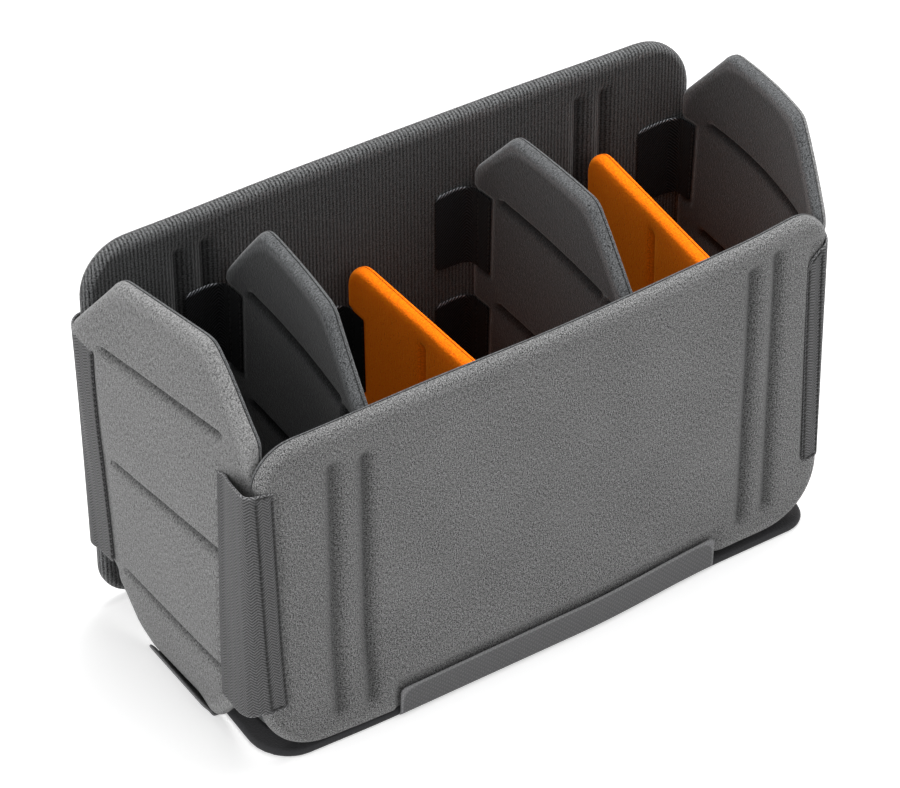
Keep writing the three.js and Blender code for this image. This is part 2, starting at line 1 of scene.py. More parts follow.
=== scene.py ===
import bpy
import math
import numpy as np
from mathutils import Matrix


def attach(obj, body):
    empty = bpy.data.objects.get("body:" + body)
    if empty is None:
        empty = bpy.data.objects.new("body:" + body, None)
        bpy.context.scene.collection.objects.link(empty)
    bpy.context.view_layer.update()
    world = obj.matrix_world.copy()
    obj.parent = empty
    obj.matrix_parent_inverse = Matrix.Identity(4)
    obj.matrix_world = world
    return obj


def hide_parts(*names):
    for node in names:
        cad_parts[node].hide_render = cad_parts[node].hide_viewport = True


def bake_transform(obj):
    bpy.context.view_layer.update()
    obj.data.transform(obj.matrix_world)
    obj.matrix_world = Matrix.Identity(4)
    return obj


# Padded divider insert of a camera bag: sizes here are millimetres, and meshes are written in metres.
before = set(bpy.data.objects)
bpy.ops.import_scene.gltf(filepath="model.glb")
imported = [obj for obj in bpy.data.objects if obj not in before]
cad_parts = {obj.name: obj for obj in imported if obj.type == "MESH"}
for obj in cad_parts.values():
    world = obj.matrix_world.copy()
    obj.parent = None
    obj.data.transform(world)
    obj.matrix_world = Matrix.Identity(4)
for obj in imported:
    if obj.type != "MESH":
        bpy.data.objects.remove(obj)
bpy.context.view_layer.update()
mm = 0.001


def addObject(name, data):
    obj = bpy.data.objects.new(name, data)
    bpy.context.scene.collection.objects.link(obj)
    return obj


# Camera: it looks at the middle of the insert from the front left and above, with a long lens
view = {"azimuth": -34.6, "elevation": 36.8, "distance": 1786.1, "aimHeight": 100, "slideRight": -12.3,
        "slideUp": -5.6, "focalPixels": 3929.7, "imageWidth": 900, "sensorWidth": 36, "clipEnd": 50}


def makeCamera():
    turn = math.radians(-view["azimuth"])
    tilt = math.radians(view["elevation"])
    look = np.array([math.sin(turn) * math.cos(tilt), math.cos(turn) * math.cos(tilt), -math.sin(tilt)])
    right = np.array([math.cos(turn), -math.sin(turn), 0])
    up = np.cross(right, look)
    aim = np.array([0, 0, view["aimHeight"]])
    place = aim - look * view["distance"] + right * view["slideRight"] + up * view["slideUp"]
    lens = bpy.data.cameras.new("photoCamera")
    lens.sensor_fit = "HORIZONTAL"
    lens.sensor_width = view["sensorWidth"]
    lens.lens = view["sensorWidth"] * view["focalPixels"] / view["imageWidth"]
    lens.clip_end = view["clipEnd"]
    camera = addObject("photoCamera", lens)
    camera.location = place * mm
    camera.rotation_euler = (math.pi / 2 - tilt, 0, -turn)
    bpy.context.scene.camera = camera


makeCamera()
print("camera set")

# Shader building: values that can be added and multiplied, and short forms for making nodes


def joinAll(tree, inputs, values):
    # each input takes the shader value or the plain value given under its label
    for label, value in values.items():
        if isinstance(value, Value):
            tree.links.new(value.socket, inputs[label])
        else:
            inputs[label].default_value = value


def makeNode(tree, kind, inputs={}, output=0, **settings):
    node = tree.nodes.new(kind)
    for key, value in settings.items():
        setattr(node, key, value)
    joinAll(tree, node.inputs, inputs)
    return Value(tree, node.outputs[output])


def mathNode(tree, kind, *terms):
    return makeNode(tree, "ShaderNodeMath", dict(enumerate(terms)), operation=kind)


class Value:
    # what a socket puts out: each sum with a number or with another value makes a math node on its tree
    def __init__(self, tree, socket):
        self.tree, self.socket = tree, socket

    def calc(self, kind, *terms):
        return mathNode(self.tree, kind, self, *terms)

    def __add__(self, other):
        return self.calc("ADD", other)

    def __radd__(self, other):
        return mathNode(self.tree, "ADD", other, self)

    def __sub__(self, other):
        return self.calc("SUBTRACT", other)

    def __rsub__(self, other):
        return mathNode(self.tree, "SUBTRACT", other, self)

    def __mul__(self, other):
        return self.calc("MULTIPLY", other)

    def __truediv__(self, other):
        return self.calc("DIVIDE", other)


def sineOf(value, factor=2 * math.pi):
    return (value * factor).calc("SINE")


def blendColour(share, first, second):
    return makeNode(share.tree, "ShaderNodeMix", {"Factor": share, "A": first, "B": second}, "Result",
                    data_type="RGBA")


def remap(value, low, high, newLow, newHigh):
    # smooth step of the value from one range onto another
    return makeNode(value.tree, "ShaderNodeMapRange", dict(enumerate((value, low, high, newLow, newHigh))),
                    interpolation_type="SMOOTHSTEP")


def noiseAt(vector, scale, detail=2.0, roughness=0.5):
    return makeNode(vector.tree, "ShaderNodeTexNoise", {
        "Vector": vector, "Scale": scale, "Detail": detail, "Roughness": roughness})


def partOf(vector, axis):
    return makeNode(vector.tree, "ShaderNodeSeparateXYZ", {0: vector}, axis)


socketKinds = {type(None): "NodeSocketVector", float: "NodeSocketFloat", tuple: "NodeSocketColor"}
weaveOutputs = {"Tone": 0.0, "Height": 0.0}
middleGrey = (0.5, 0.5, 0.5, 1.0)


def newGroup(name, inputs, outputs):
    # a socket's kind comes from its first value: a vector has none, and a tuple is a colour
    group = bpy.data.node_groups.new(name, "ShaderNodeTree")
    for side, sockets in (("INPUT", inputs), ("OUTPUT", outputs)):
        for label, value in sockets.items():
            socket = group.interface.new_socket(label, in_out=side, socket_type=socketKinds[type(value)])
            if value is not None:
                socket.default_value = value
    sources = group.nodes.new("NodeGroupInput").outputs
    given = {label: Value(group, sources[label]) for label in inputs}
    return group, given, group.nodes.new("NodeGroupOutput").inputs


felt = {"fine": (2.4, -0.7), "nap": (2.2, -0.6), "napScale": 0.8, "napStretch": (1.0, 0.38, 1.0),
        "napTurn": (0.0, 0.0, 0.35), "roughness": 0.6, "patchScale": 26.0, "patchTone": 0.12,
        "ribWander": 0.0004, "ribHeight": 0.5, "ribTone": 0.6}


def makeFeltGroup():
    # brushed felt: two noises of fibres, one drawn out along the nap, each spread by a gain and a shift, with
    # slow patches of tone and a sine of ribs whose place wanders with the nap
    group, given, result = newGroup("brushedFelt", {
        "Vector": None, "Fibre": 900.0, "Nap": 0.5, "Ribs": 0.0, "RibPitch": 0.0011}, weaveOutputs)
    vector, fibre = given["Vector"], given["Fibre"]
    fine = noiseAt(vector, fibre, 1.0, felt["roughness"]).calc("MULTIPLY_ADD", *felt["fine"])
    drawn = makeNode(group, "ShaderNodeMapping", {
        "Vector": vector, "Scale": felt["napStretch"], "Rotation": felt["napTurn"]})
    nap = noiseAt(drawn, fibre * felt["napScale"], 1.0, felt["roughness"]).calc("MULTIPLY_ADD", *felt["nap"])
    fibres = fine * (1.0 - given["Nap"]) + nap * given["Nap"]
    across = (partOf(vector, 0) + (nap - 0.5) * felt["ribWander"]) / given["RibPitch"]
    ribs = sineOf(across) * felt["ribHeight"] * given["Ribs"]
    patches = noiseAt(vector, felt["patchScale"]) - 0.5
    joinAll(group, result, {"Tone": fibres + ribs * felt["ribTone"] + patches * felt["patchTone"],
                            "Height": fibres + ribs})
    return group


def finishWeave(group, given, result, height, weave):
    # fuzz lies on the yarns and also tints them
    fuzz = noiseAt(given["Vector"], weave["fuzzScale"], 2.0, 0.6)
    joinAll(group, result, {"Height": height + fuzz * weave["fuzzHeight"],
                            "Tone": height * weave["heightTone"] + fuzz})
    return group


twill = {"slope": 0.9, "ridge": 0.6, "yarnPitch": 0.4, "yarn": 0.12, "fuzzScale": 1400.0, "fuzzHeight": 0.4,
         "heightTone": 0.5}


def makeTwillGroup():
    # herringbone twill: slanted yarn ridges whose slant turns over at every half zigzag, and finer warp yarns
    group, given, result = newGroup("herringboneTwill", {"Vector": None, "Pitch": 0.0016, "Zigzag": 0.0052},
                                    weaveOutputs)
    across, along, pitch = partOf(given["Vector"], 0), partOf(given["Vector"], 1), given["Pitch"]
    slant = along + across.calc("PINGPONG", given["Zigzag"] * 0.5) * twill["slope"]
    height = (sineOf(slant / pitch) * twill["ridge"]
              + sineOf(across / (pitch * twill["yarnPitch"])) * twill["yarn"])
    return finishWeave(group, given, result, height, twill)


plainWeave = {"turns": 0.35, "yarns": 0.3, "fuzzScale": 1600.0, "fuzzHeight": 0.35, "heightTone": 0.45}


def makePlainWeaveGroup():
    # plain weave: warp and weft waves that take turns on top
    group, given, result = newGroup("plainWeave", {"Vector": None, "Pitch": 0.00125}, weaveOutputs)
    warp, weft = [sineOf(partOf(given["Vector"], axis) / given["Pitch"], math.pi) for axis in (0, 1)]
    yarns = warp.calc("ABSOLUTE") + weft.calc("ABSOLUTE")
    height = warp * weft * plainWeave["turns"] + yarns * plainWeave["yarns"]
    return finishWeave(group, given, result, height, plainWeave)


def makeShadingGroup():
    # the colour with painted light: the tone's spread, a painted highlight on the rims and painted shade in
    # grooves, seams and sewn rows, multiplied together and never black. Highlight and shade come from the
    # attributes that each mesh carries
    group, given, result = newGroup("handledCloth", {
        "Colour": middleGrey, "Tone": 0.5, "Contrast": 0.3, "RimLift": 0.2, "PressDarken": 0.4},
        {"Colour": middleGrey})
    rim, pressed = [makeNode(group, "ShaderNodeAttribute", output="Fac", attribute_name=name)
                    for name in ("rimmed", "pressed")]
    level = ((1.0 + (given["Tone"] - 0.5) * given["Contrast"])
             * ((1.0 + rim * given["RimLift"]) * (1.0 - pressed * given["PressDarken"])))
    scaled = makeNode(group, "ShaderNodeVectorMath", {
        0: given["Colour"], "Scale": level.calc("MAXIMUM", 0.02)}, operation="SCALE")
    joinAll(group, result, {"Colour": scaled})
    return group


groups = {"felt": makeFeltGroup(), "twill": makeTwillGroup(), "plain": makePlainWeaveGroup(),
          "handled": makeShadingGroup()}


def placeGroup(tree, key, **values):
    node = tree.nodes.new("ShaderNodeGroup")
    node.node_tree = groups[key]
    joinAll(tree, node.inputs, values)
    return {socket.name: Value(tree, socket) for socket in node.outputs}


def startMaterial(name):
    material = bpy.data.materials.new(name)
    material.use_nodes = True
    tree = material.node_tree
    return material, tree, tree.nodes["Principled BSDF"].inputs


def bumpFrom(height, strength, depth):
    return makeNode(height.tree, "ShaderNodeBump", {
        "Height": height, "Strength": strength, "Distance": depth * mm})


def clothMaterial(name, weave, weaveValues, look):
    # one cloth: the weave group gives tone and height, the shading group the colour with its painted rim
    # highlight and crease shade, a bump the surface. The glow is painted light: an emission of the cloth's own
    # colour that makes it brighter than the lamps make it
    material, tree, shader = startMaterial(name)
    uv = makeNode(tree, "ShaderNodeUVMap", uv_map="cloth")
    woven = placeGroup(tree, weave, Vector=uv, **weaveValues)
    colour = (*look["colour"], 1.0)
    handled = placeGroup(tree, "handled", Colour=colour, Tone=woven["Tone"], Contrast=look["contrast"],
                         RimLift=look["rimLift"], PressDarken=look["pressDarken"])
    joinAll(tree, shader, {
        "Base Color": handled["Colour"], "Normal": bumpFrom(woven["Height"], look["bump"], look["depth"]),
        "Roughness": remap(woven["Tone"], 0.2, 0.8, look["roughness"] - 0.06, look["roughness"] + 0.06),
        "Sheen Weight": look["sheen"], "Sheen Roughness": 0.45, "Sheen Tint": (*look["sheenTint"], 1.0),
        "Specular IOR Level": look["specular"], "Emission Color": colour, "Emission Strength": look["glow"]})
    return material


# Each cloth: its weave, the weave's values, and what its look changes of the common one
# rimLift is a painted highlight on the rims, pressDarken painted shade in grooves, seams and sewn rows
commonLook = {"contrast": 0.9, "rimLift": 0.25, "pressDarken": 0.5, "bump": 0.6, "depth": 0.4,
              "roughness": 0.9, "sheen": 0.25, "sheenTint": (1.0, 1.0, 1.0), "specular": 0.15, "glow": 0.0}
webbingLook = {"roughness": 0.7, "sheen": 0.1, "specular": 0.35}
clothLooks = {
    "grey_felt": ("felt", {"Fibre": 1800.0, "Nap": 0.3, "Ribs": 0.05},
                  {"colour": (0.174, 0.174, 0.174), "contrast": 3.0}),
    "pale_felt": ("felt", {"Fibre": 1500.0, "Nap": 0.4}, {"colour": (0.222, 0.222, 0.222), "contrast": 1.9}),
    "dark_loop": ("felt", {"Fibre": 1500.0, "Nap": 0.4, "Ribs": 0.08},
                  {"colour": (0.036, 0.0372, 0.0384), "contrast": 2.2, "rimLift": 2.2, "pressDarken": 0.75,
                   "sheen": 0.4}),
    "rear_loop": ("felt", {"Fibre": 1400.0, "Nap": 0.2, "Ribs": 0.9, "RibPitch": 0.00192},
                  {"colour": (0.055, 0.056, 0.057), "contrast": 2.4, "rimLift": 1.2, "sheen": 0.35,
                   "depth": 0.6}),
    # the orange's glow is painted light
    "orange_felt": ("felt", {"Fibre": 1150.0, "Nap": 0.4, "Ribs": 0.25},
                    {"colour": (1.0, 0.187, 0.002), "rimLift": 0.5, "pressDarken": 0.65, "sheen": 0.35,
                     "sheenTint": (1.0, 0.7, 0.1), "glow": 0.085}),
    "base_felt": ("felt", {"Fibre": 1500.0},
                  {"colour": (0.03, 0.03, 0.032), "contrast": 0.4, "sheen": 0.15, "roughness": 0.7}),
    "twill_webbing": ("twill", {}, {"colour": (0.088, 0.088, 0.09), "contrast": 2.6, "rimLift": 1.3,
                                    **webbingLook}),
    "strip_webbing": ("plain", {}, {"colour": (0.09, 0.09, 0.092), "contrast": 1.6, "rimLift": 0.9,
                                    **webbingLook}),
    "hook_tab": ("twill", {"Pitch": 0.0017, "Zigzag": 0.06},
                 {"colour": (0.013, 0.0135, 0.0145), "contrast": 5.0, "rimLift": 12.0, "roughness": 0.7,
                  "sheen": 0.02, "specular": 0.1}),
}


def boardMaterial():
    # stiffener board: pale sheet plastic with a faint grain and scuffs
    material, tree, shader = startMaterial("stiffenerBoard")
    place = makeNode(tree, "ShaderNodeTexCoord", output="Object")
    scuffs = noiseAt(place, 60.0, 4.0, 0.6)
    joinAll(tree, shader, {
        "Base Color": blendColour(remap(scuffs, 0.4, 0.7, 0.0, 1.0), (0.62, 0.62, 0.58, 1),
                                  (0.5, 0.5, 0.47, 1)),
        "Roughness": remap(scuffs, 0.3, 0.7, 0.45, 0.65), "Normal": bumpFrom(noiseAt(place, 900.0), 0.2, 0.1)})
    return material


def threadMaterial():
    # sewing thread: twisted plies as fine ridges on object coordinates
    material, tree, shader = startMaterial("sewingThread")
    plies = noiseAt(makeNode(tree, "ShaderNodeTexCoord", output="Object"), 4000.0, 1.0)
    joinAll(tree, shader, {
        "Base Color": blendColour(plies, (0.003, 0.003, 0.003, 1), (0.012, 0.012, 0.012, 1)),
        "Roughness": remap(plies, 0.2, 0.8, 0.5, 0.75), "Normal": bumpFrom(plies, 0.4, 0.1)})
    return material


cloths = {"stiffener_board": boardMaterial(), "thread": threadMaterial()}
for clothKey, (weave, weaveValues, changes) in clothLooks.items():
    first, last = clothKey.split("_")
    cloths[clothKey] = clothMaterial(first + last.title(), weave, weaveValues, {**commonLook, **changes})
print("materials made")

# Surfaces on a grid of two parameters


def softStep(x):
    # 3x^2 - 2x^3 where x lies between 0 and 1
    x = np.clip(x, 0, 1)
    return x * x * (3 - 2 * x)


def ramp(x, start, run):
    # the soft step from 0 at the start to 1 a run further on
    return softStep((x - start) / run)


def pulse(x, low, high, soft):
    # 1 between low and high, falling to 0 over the soft width on each side
    return softStep((x - low) / soft + 0.5) * softStep((high - x) / soft + 0.5)


def gridLines(low, high, coarse, marks, samples=4001):
    # lines whose spacing is coarse, and fine near each mark (place, reach, fine): density summed, then inverted
    x = np.linspace(low, high, samples)
    density = np.full_like(x, 1 / coarse)
    for place, reach, fine in marks:
        fall = np.exp(-np.maximum(np.abs(x - place) - reach, 0) / reach)
        density = np.maximum(density, fall / fine)
    total = np.concatenate([[0], np.cumsum((density[1:] + density[:-1]) / 2 * np.diff(x))])
    count = int(math.ceil(total[-1]))
    return np.interp(np.linspace(0, total[-1], count + 1), total, x)


def unitRows(vectors):
    return vectors / np.linalg.norm(vectors, axis=1)[:, None]


def cornerEdges(corners):
    # the corner points, and the direction of the edge that leaves each
    points = np.array([corner[:2] for corner in corners], float)
    return points, unitRows(np.roll(points, -1, 0) - points)


def insetCorners(corners, distance, leastRadius=1.0):
    # sharp corners (u, v, radius) moved inwards by a distance along the mitre of their edges
    points, edges = cornerEdges(corners)
    normals = np.column_stack([-edges[:, 1], edges[:, 0]])
    mitre = unitRows(normals + np.roll(normals, 1, 0))
    moved = points + mitre * (distance / np.sum(mitre * normals, axis=1))[:, None]
    return [(u, v, max(corner[2] - distance, leastRadius)) for (u, v), corner in zip(moved, corners)]


def roundedLoop(corners, steps=24):
    # each corner becomes an arc of its own radius that touches its two edges
    points, edges = cornerEdges(corners)
    loop = []
    for index, corner in enumerate(corners):
        back, ahead = -edges[index - 1], edges[index]
        half = math.acos(np.clip(back @ ahead, -1, 1)) / 2
        bisector = (back + ahead) / np.linalg.norm(back + ahead)
        centre = points[index] + bisector * corner[2] / math.sin(half)
        start = points[index] + back * corner[2] / math.tan(half) - centre
        angle = np.linspace(0, math.pi - 2 * half, steps)
        (x, y), cos, sin = start, np.cos(angle), np.sin(angle)
        loop.append(np.column_stack([x * cos - y * sin, x * sin + y * cos]) + centre)
    return np.concatenate(loop)


def flanks(corners, level=1e-6):
    # the right and left flank of a loop that runs anticlockwise, as v and u going up, without its level parts
    loop = roundedLoop(corners)
    rise = np.roll(loop, -1, 0)[:, 1] - np.roll(loop, 1, 0)[:, 1]
    sides = []
    for sign in (1, -1):
        side = loop[sign * rise > level]
        side = side[np.argsort(side[:, 1], kind="stable")]
        sides.append((side[:, 1], side[:, 0]))
    return sides


def edgeDistance(corners, u, v, blend=3.0):
    # soft minimum of the distances to the outline's straight edges: -blend * log(sum of exp(-distance / blend))
    total = 0
    for point, edge in zip(*cornerEdges(corners)):
        distance = -edge[1] * (u - point[0]) + edge[0] * (v - point[1])
        total = total + np.exp(-np.clip(distance, -50, 500) / blend)
    return -blend * np.log(total)


def lineDistance(u, v, line):
    # distance to a segment from (u0, v0) to (u1, v1)
    u0, v0, u1, v1 = line
    du, dv = u1 - u0, v1 - v0
    share = np.clip(((u - u0) * du + (v - v0) * dv) / (du * du + dv * dv), 0, 1)
    return np.hypot(u - u0 - share * du, v - v0 - share * dv)


def nearestLine(u, v, lines, lean=lambda line: 1):
    # the least distance to any of the lines, which far away is taken as 999
    nearest = np.full_like(u, 999.0)
    for line in lines:
        nearest = np.minimum(nearest, lineDistance(u, v, line) * lean(line))
    return nearest


rimProfile = {"skinStart": 9, "skinRings": 10, "skinPower": 2 / 2.3, "skinFoot": 0.1,
              "skinTuck": [(0.06, 0.03), (0.4, 0.0)], "slabRings": 13, "slabPower": 0.8}


def rimRings(kind, reach):
    # the rim's profile as rings below the top sheet: outward offset and share of the height between bottom and
    # top. A skin's is a quarter of a squarish round that tucks in at the seam, a slab's is half a round
    if kind == "skin":
        angle = np.radians(np.linspace(rimProfile["skinStart"], 90, rimProfile["skinRings"]))
        foot, power = rimProfile["skinFoot"], rimProfile["skinPower"]
        tuck = [(reach - inwards, share) for inwards, share in rimProfile["skinTuck"]]
        return list(zip(reach * np.sin(angle) ** power, foot + (1 - foot) * np.cos(angle) ** power)) + tuck
    angle = np.radians(np.linspace(0, 180, rimProfile["slabRings"]))[1:]
    return list(zip(reach * np.sin(angle) ** rimProfile["slabPower"], (1 + np.cos(angle)) / 2))


def makeMesh(name, points, quads, uv, attributes, material):
    # points in millimetres, quads as rows of four indices, one uv pair and one value of each attribute a point.
    # The sum of p0 . (p1 x p2) over a closed body is six times its volume, and negative when it is inside out
    mesh = bpy.data.meshes.new(name)
    p0, p1, p2, p3 = (points[quads[:, corner]] for corner in range(4))
    if np.sum(p0 * (np.cross(p1, p2) + np.cross(p2, p3))) < 0:
        quads = quads[:, ::-1]
    for target, count, key, values, kind in (
            (mesh.vertices, len(points), "co", points * mm, np.float32),
            (mesh.loops, quads.size, "vertex_index", quads, np.int32),
            (mesh.polygons, len(quads), "loop_start", np.arange(0, quads.size, 4), np.int32)):
        target.add(count)
        target.foreach_set(key, values.astype(kind).ravel())
    mesh.polygons.foreach_set("use_smooth", np.ones(len(quads), bool))
    layer = mesh.uv_layers.new(name="cloth")
    layer.data.foreach_set("uv", (uv[quads.ravel()] * mm).astype(np.float32).ravel())
    for key, values in attributes.items():
        mesh.attributes.new(key, "FLOAT", "POINT").data.foreach_set("value", values.astype(np.float32))
    mesh.materials.append(material)
    mesh.update(calc_edges=True)
    mesh.validate()
    return addObject(name, mesh)


def gridQuads(rows, columns, start=0):
    index = np.arange(rows * columns).reshape(rows, columns) + start
    return np.stack([index[:-1, :-1], index[:-1, 1:], index[1:, 1:], index[1:, :-1]], -1).reshape(-1, 4)


def stripQuads(lower, upper):
    # quads between two closed rings of indices
    return np.stack([lower, np.roll(lower, -1), np.roll(upper, -1), upper], -1)


# Padded bodies: the fine rows at both ends, how often the rim's direction is smoothed, and the rings at the
# seam, which get painted crease shade and no painted rim highlight
sheet = {"endReach": 2, "endFine": 0.35, "smoothing": 3, "seamLevel": 0.05, "seamPressed": 0.6}
bodyDefaults = {"rowMarks": [], "columnMarks": [], "sideKeep": 6, "notch": None, "rimKind": "slab",
                "rimFade": 2.0, "rimLight": lambda u, v: 1.0}


def sheetGrid(shape, inner):
    # rows run across the outline at each v; columns keep their u in the middle and share what is left at the
    # sides, less the notches. The left side starts one share in from the outline
    (rightV, rightU), (leftV, leftU) = flanks(inner)
    low, high = max(rightV[0], leftV[0]), min(rightV[-1], leftV[-1])
    ends = [(place, sheet["endReach"], sheet["endFine"]) for place in (low, high)]
    v = gridLines(low, high, shape.get("rowCoarse", shape["coarse"]), shape["rowMarks"] + ends)[:, None]
    notch = shape["notch"](v) if shape["notch"] else 0
    right, left = np.interp(v, rightV, rightU) - notch, np.interp(v, leftV, leftU) + notch
    keep = min(side * np.interp(place, *flank) for side, flank in ((1, (rightV, rightU)), (-1, (leftV, leftU)))
               for place in (low, high)) - shape["sideKeep"]
    middle = gridLines(-keep, keep, shape["coarse"], shape["columnMarks"])[1:]
    share = np.linspace(0, 1, shape["sideColumns"] + 1)[1:]
    u = np.concatenate([left + (-keep - left) * share, np.repeat(middle[None], len(v), 0),
                        keep + (right - keep) * share], 1)
    return u, np.repeat(v, u.shape[1], 1)


def paddedBody(name, shape, place, material):
    # a closed body: a top sheet and a bottom sheet on one grid, joined by rings that follow the sheets' border;
    # each layer holds its points, their uv, and its shares of painted rim highlight and painted crease shade
    shape = {**bodyDefaults, **shape}
    inner = insetCorners(shape["corners"], shape["rim"])
    u, v = sheetGrid(shape, inner)
    top, topCreaseShade = shape["top"](u, v)
    bottom = shape["bottom"](u, v)
    index = np.arange(u.size).reshape(u.shape)
    loop = np.concatenate([index[0, :], index[1:, -1], index[-1, -2::-1], index[-2:0:-1, 0]])
    border = np.column_stack([u.ravel()[loop], v.ravel()[loop]])
    tangent = unitRows(np.roll(border, -1, 0) - np.roll(border, 1, 0))
    for _ in range(sheet["smoothing"]):
        tangent = unitRows(np.roll(tangent, 1, 0) + 2 * tangent + np.roll(tangent, -1, 0))
    outward = np.column_stack([tangent[:, 1], -tangent[:, 0]])
    topEdge, bottomEdge = top.ravel()[loop], bottom.ravel()[loop]
    face, back = (np.column_stack([u.ravel(), v.ravel(), level.ravel()]) for level in (top, bottom))
    # painted highlight: the rim's share, 1 on the rounded rim and fading into the sheet, where the colour is
    # made lighter as if light caught the rim
    rimmed = 1 - np.clip(edgeDistance(inner, u, v).ravel() / shape["rimFade"], 0, 1)
    layers = [(face, face[:, :2], rimmed, topCreaseShade.ravel())]
    quads = [gridQuads(*u.shape)]
    before, last, start = loop, face[loop], u.size
    travelled = np.zeros((len(loop), 1))
    for offset, level in rimRings(shape["rimKind"], shape["rim"]):
        ring = np.column_stack([border + outward * offset, bottomEdge + (topEdge - bottomEdge) * level])
        travelled = travelled + np.linalg.norm(ring - last, axis=1)[:, None]
        flags = (0.0, sheet["seamPressed"]) if level <= sheet["seamLevel"] else (1.0, 0.0)
        layers.append((ring, border + outward * travelled, *(np.full(len(loop), flag) for flag in flags)))
        indices = np.arange(len(loop)) + start
        quads.append(stripQuads(before, indices)[:, ::-1])
        before, last, start = indices, ring, start + len(loop)
    layers.append((back, back[:, :2], np.zeros(u.size), np.zeros(u.size)))
    quads += [stripQuads(before, loop + start)[:, ::-1], gridQuads(*u.shape, start)[:, ::-1]]
    local, uvs, rimmed, pressed = (np.concatenate(parts) for parts in zip(*layers))
    rimmed = rimmed * shape["rimLight"](local[:, 0], local[:, 1])
    return makeMesh(name, np.column_stack(place(*local.T)), np.concatenate(quads), uvs,
                    {"rimmed": rimmed, "pressed": pressed}, material)


def finishPiece(obj, body, nodes):
    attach(obj, body)
    if nodes:
        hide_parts(*nodes)


# Panels: sizes and mesh spacings that all of them share, then one dictionary for each
panel = {"thickness": 8, "seam": -1.4, "seamGap": 0.04, "faceRim": 3.6, "backRim": 2.2, "backDepth": 0.9,
         "faceFill": 0.7, "backFill": 0.6, "coarse": 2.2, "rimFade": 3}
board = {"margin": 16.3, "thickness": 1.2, "slack": 0.3, "gap": 0.02, "pocketStep": 1.5, "rim": 0.3,
         "coarse": 8, "sideColumns": 6}
moulding = {"pillow": 0.7, "pillowReach": 7, "rimPillow": 0.8, "recess": 1.6, "groovePower": 1.6,
            "pressedWidth": 1.15, "wave": 0.12, "waveLengths": (17, 31, 23), "waveTurn": 1.3, "wavePhase": 0.7}
wallBottom = 4.9
dividerBottom = 9.2
dividerHalf = 62.3


def boxOutline(left, right, height, bottomLeft, bottomRight, topRight, topLeft):
    return [(left, 0, bottomLeft), (right, 0, bottomRight), (right, height, topRight), (left, height, topLeft)]


def tallOutline(half, height, rearTop=(34, 38), frontTop=(34, 38), rearFoot=(37, 29), frontFoot=(37, 29),
                radius=10):
    # eight sides, each cut corner given as its run and rise: the top ones at about 45 degrees, the lower ones
    # flatter
    return [(u, v, radius) for u, v in (
        (rearFoot[0] - half, 0), (half - frontFoot[0], 0), (half, frontFoot[1]), (half, height - frontTop[1]),
        (half - frontTop[0], height), (rearTop[0] - half, height), (-half, height - rearTop[1]),
        (-half, rearFoot[1]))]


def moulded(corners, grooves, recesses, width, depth, skew):
    # face height: half the thickness, less a pillow that dies away from each groove and the rim, less the
    # grooves, whose section is depth * exp(-(distance / width)^power), less the pressed recesses, plus a slow
    # wave; skew makes a level groove steeper above its line and gentler below
    reach = moulding["pillowReach"]
    length, bendLength, rowLength = moulding["waveLengths"]

    def height(u, v):
        nearest = nearestLine(u, v, grooves, lambda line: 1 + skew * np.tanh((v - line[1]) / width))
        rim = edgeDistance(corners, u, v) - panel["faceRim"]
        fall = np.exp(-nearest / reach) + moulding["rimPillow"] * np.exp(-np.maximum(rim, 0) / reach)
        groove = depth * np.exp(-((nearest / width) ** moulding["groovePower"]))
        sunk = 0 * u
        for uLow, uHigh, vLow, vHigh, soft in recesses:
            sunk = np.maximum(sunk, pulse(u, uLow, uHigh, soft) * pulse(v, vLow, vHigh, soft))
        wave = (moulding["wave"] * np.sin(u / length + moulding["waveTurn"] * np.sin(v / bendLength))
                * np.sin(v / rowLength + moulding["wavePhase"]))
        level = (panel["thickness"] / 2 - moulding["pillow"] * fall - groove - moulding["recess"] * sunk
                 + wave * (1 - sunk))
        # the second value is the painted shade that darkens the grooves
        return level, np.exp(-((nearest / (moulding["pressedWidth"] * width)) ** 2))
    return height


def buildPanel(name, body, spec):
    # both skins and the board of one panel, all carried by the same placing function
    corners = spec["corners"]
    pocketFloor = panel["seam"] + panel["seamGap"]

    def pocket(u, v):
        deep = 0
        if spec["board"]:
            step = board["pocketStep"]
            deep = softStep((edgeDistance(corners, u, v) - board["margin"] + step) / step)
        return pocketFloor + deep * (board["thickness"] + board["slack"]) + 0 * u

    def seamPlane(u, v):
        return -panel["seam"] + panel["seamGap"] + 0 * u
    common = {key: spec[key] for key in ("corners", "rowMarks", "columnMarks", "sideColumns", "notch")}
    common.update(coarse=panel["coarse"], rimFade=panel["rimFade"], rimKind="skin")
    for part, side, bottom, depth, look in (("face", 1, pocket, spec["grooveDepth"], spec["looks"][0]),
                                            ("back", -1, seamPlane, panel["backDepth"], spec["looks"][1])):
        top = moulded(corners, spec[f"{part}Grooves"], spec[f"{part}Recesses"], spec["grooveWidth"], depth,
                      spec["grooveSkew"])
        shape = dict(common, rim=panel[f"{part}Rim"], bottom=bottom, top=top)
        obj = paddedBody(f"{name}_{part}", shape, lambda u, v, w: spec["place"](u, v, side * w), cloths[look])
        finishPiece(obj, body, [f"{name}_{part}_skin"])
    if spec["board"]:
        shape = {"corners": insetCorners(corners, board["margin"]), "coarse": board["coarse"],
                 "sideColumns": board["sideColumns"], "rim": board["rim"],
                 "top": lambda u, v: (pocketFloor + board["thickness"] + 0 * u, 0 * u),
                 "bottom": lambda u, v: pocketFloor + board["gap"] + 0 * u}
        obj = paddedBody(f"{name}_stiffener", shape, spec["place"], cloths["stiffener_board"])
        finishPiece(obj, body, [f"{name}_board"])


panelDefaults = {"backGrooves": [], "faceRecesses": [], "backRecesses": [], "columnMarks": [], "grooveSkew": 0,
                 "sideColumns": 26, "notch": None, "board": True}


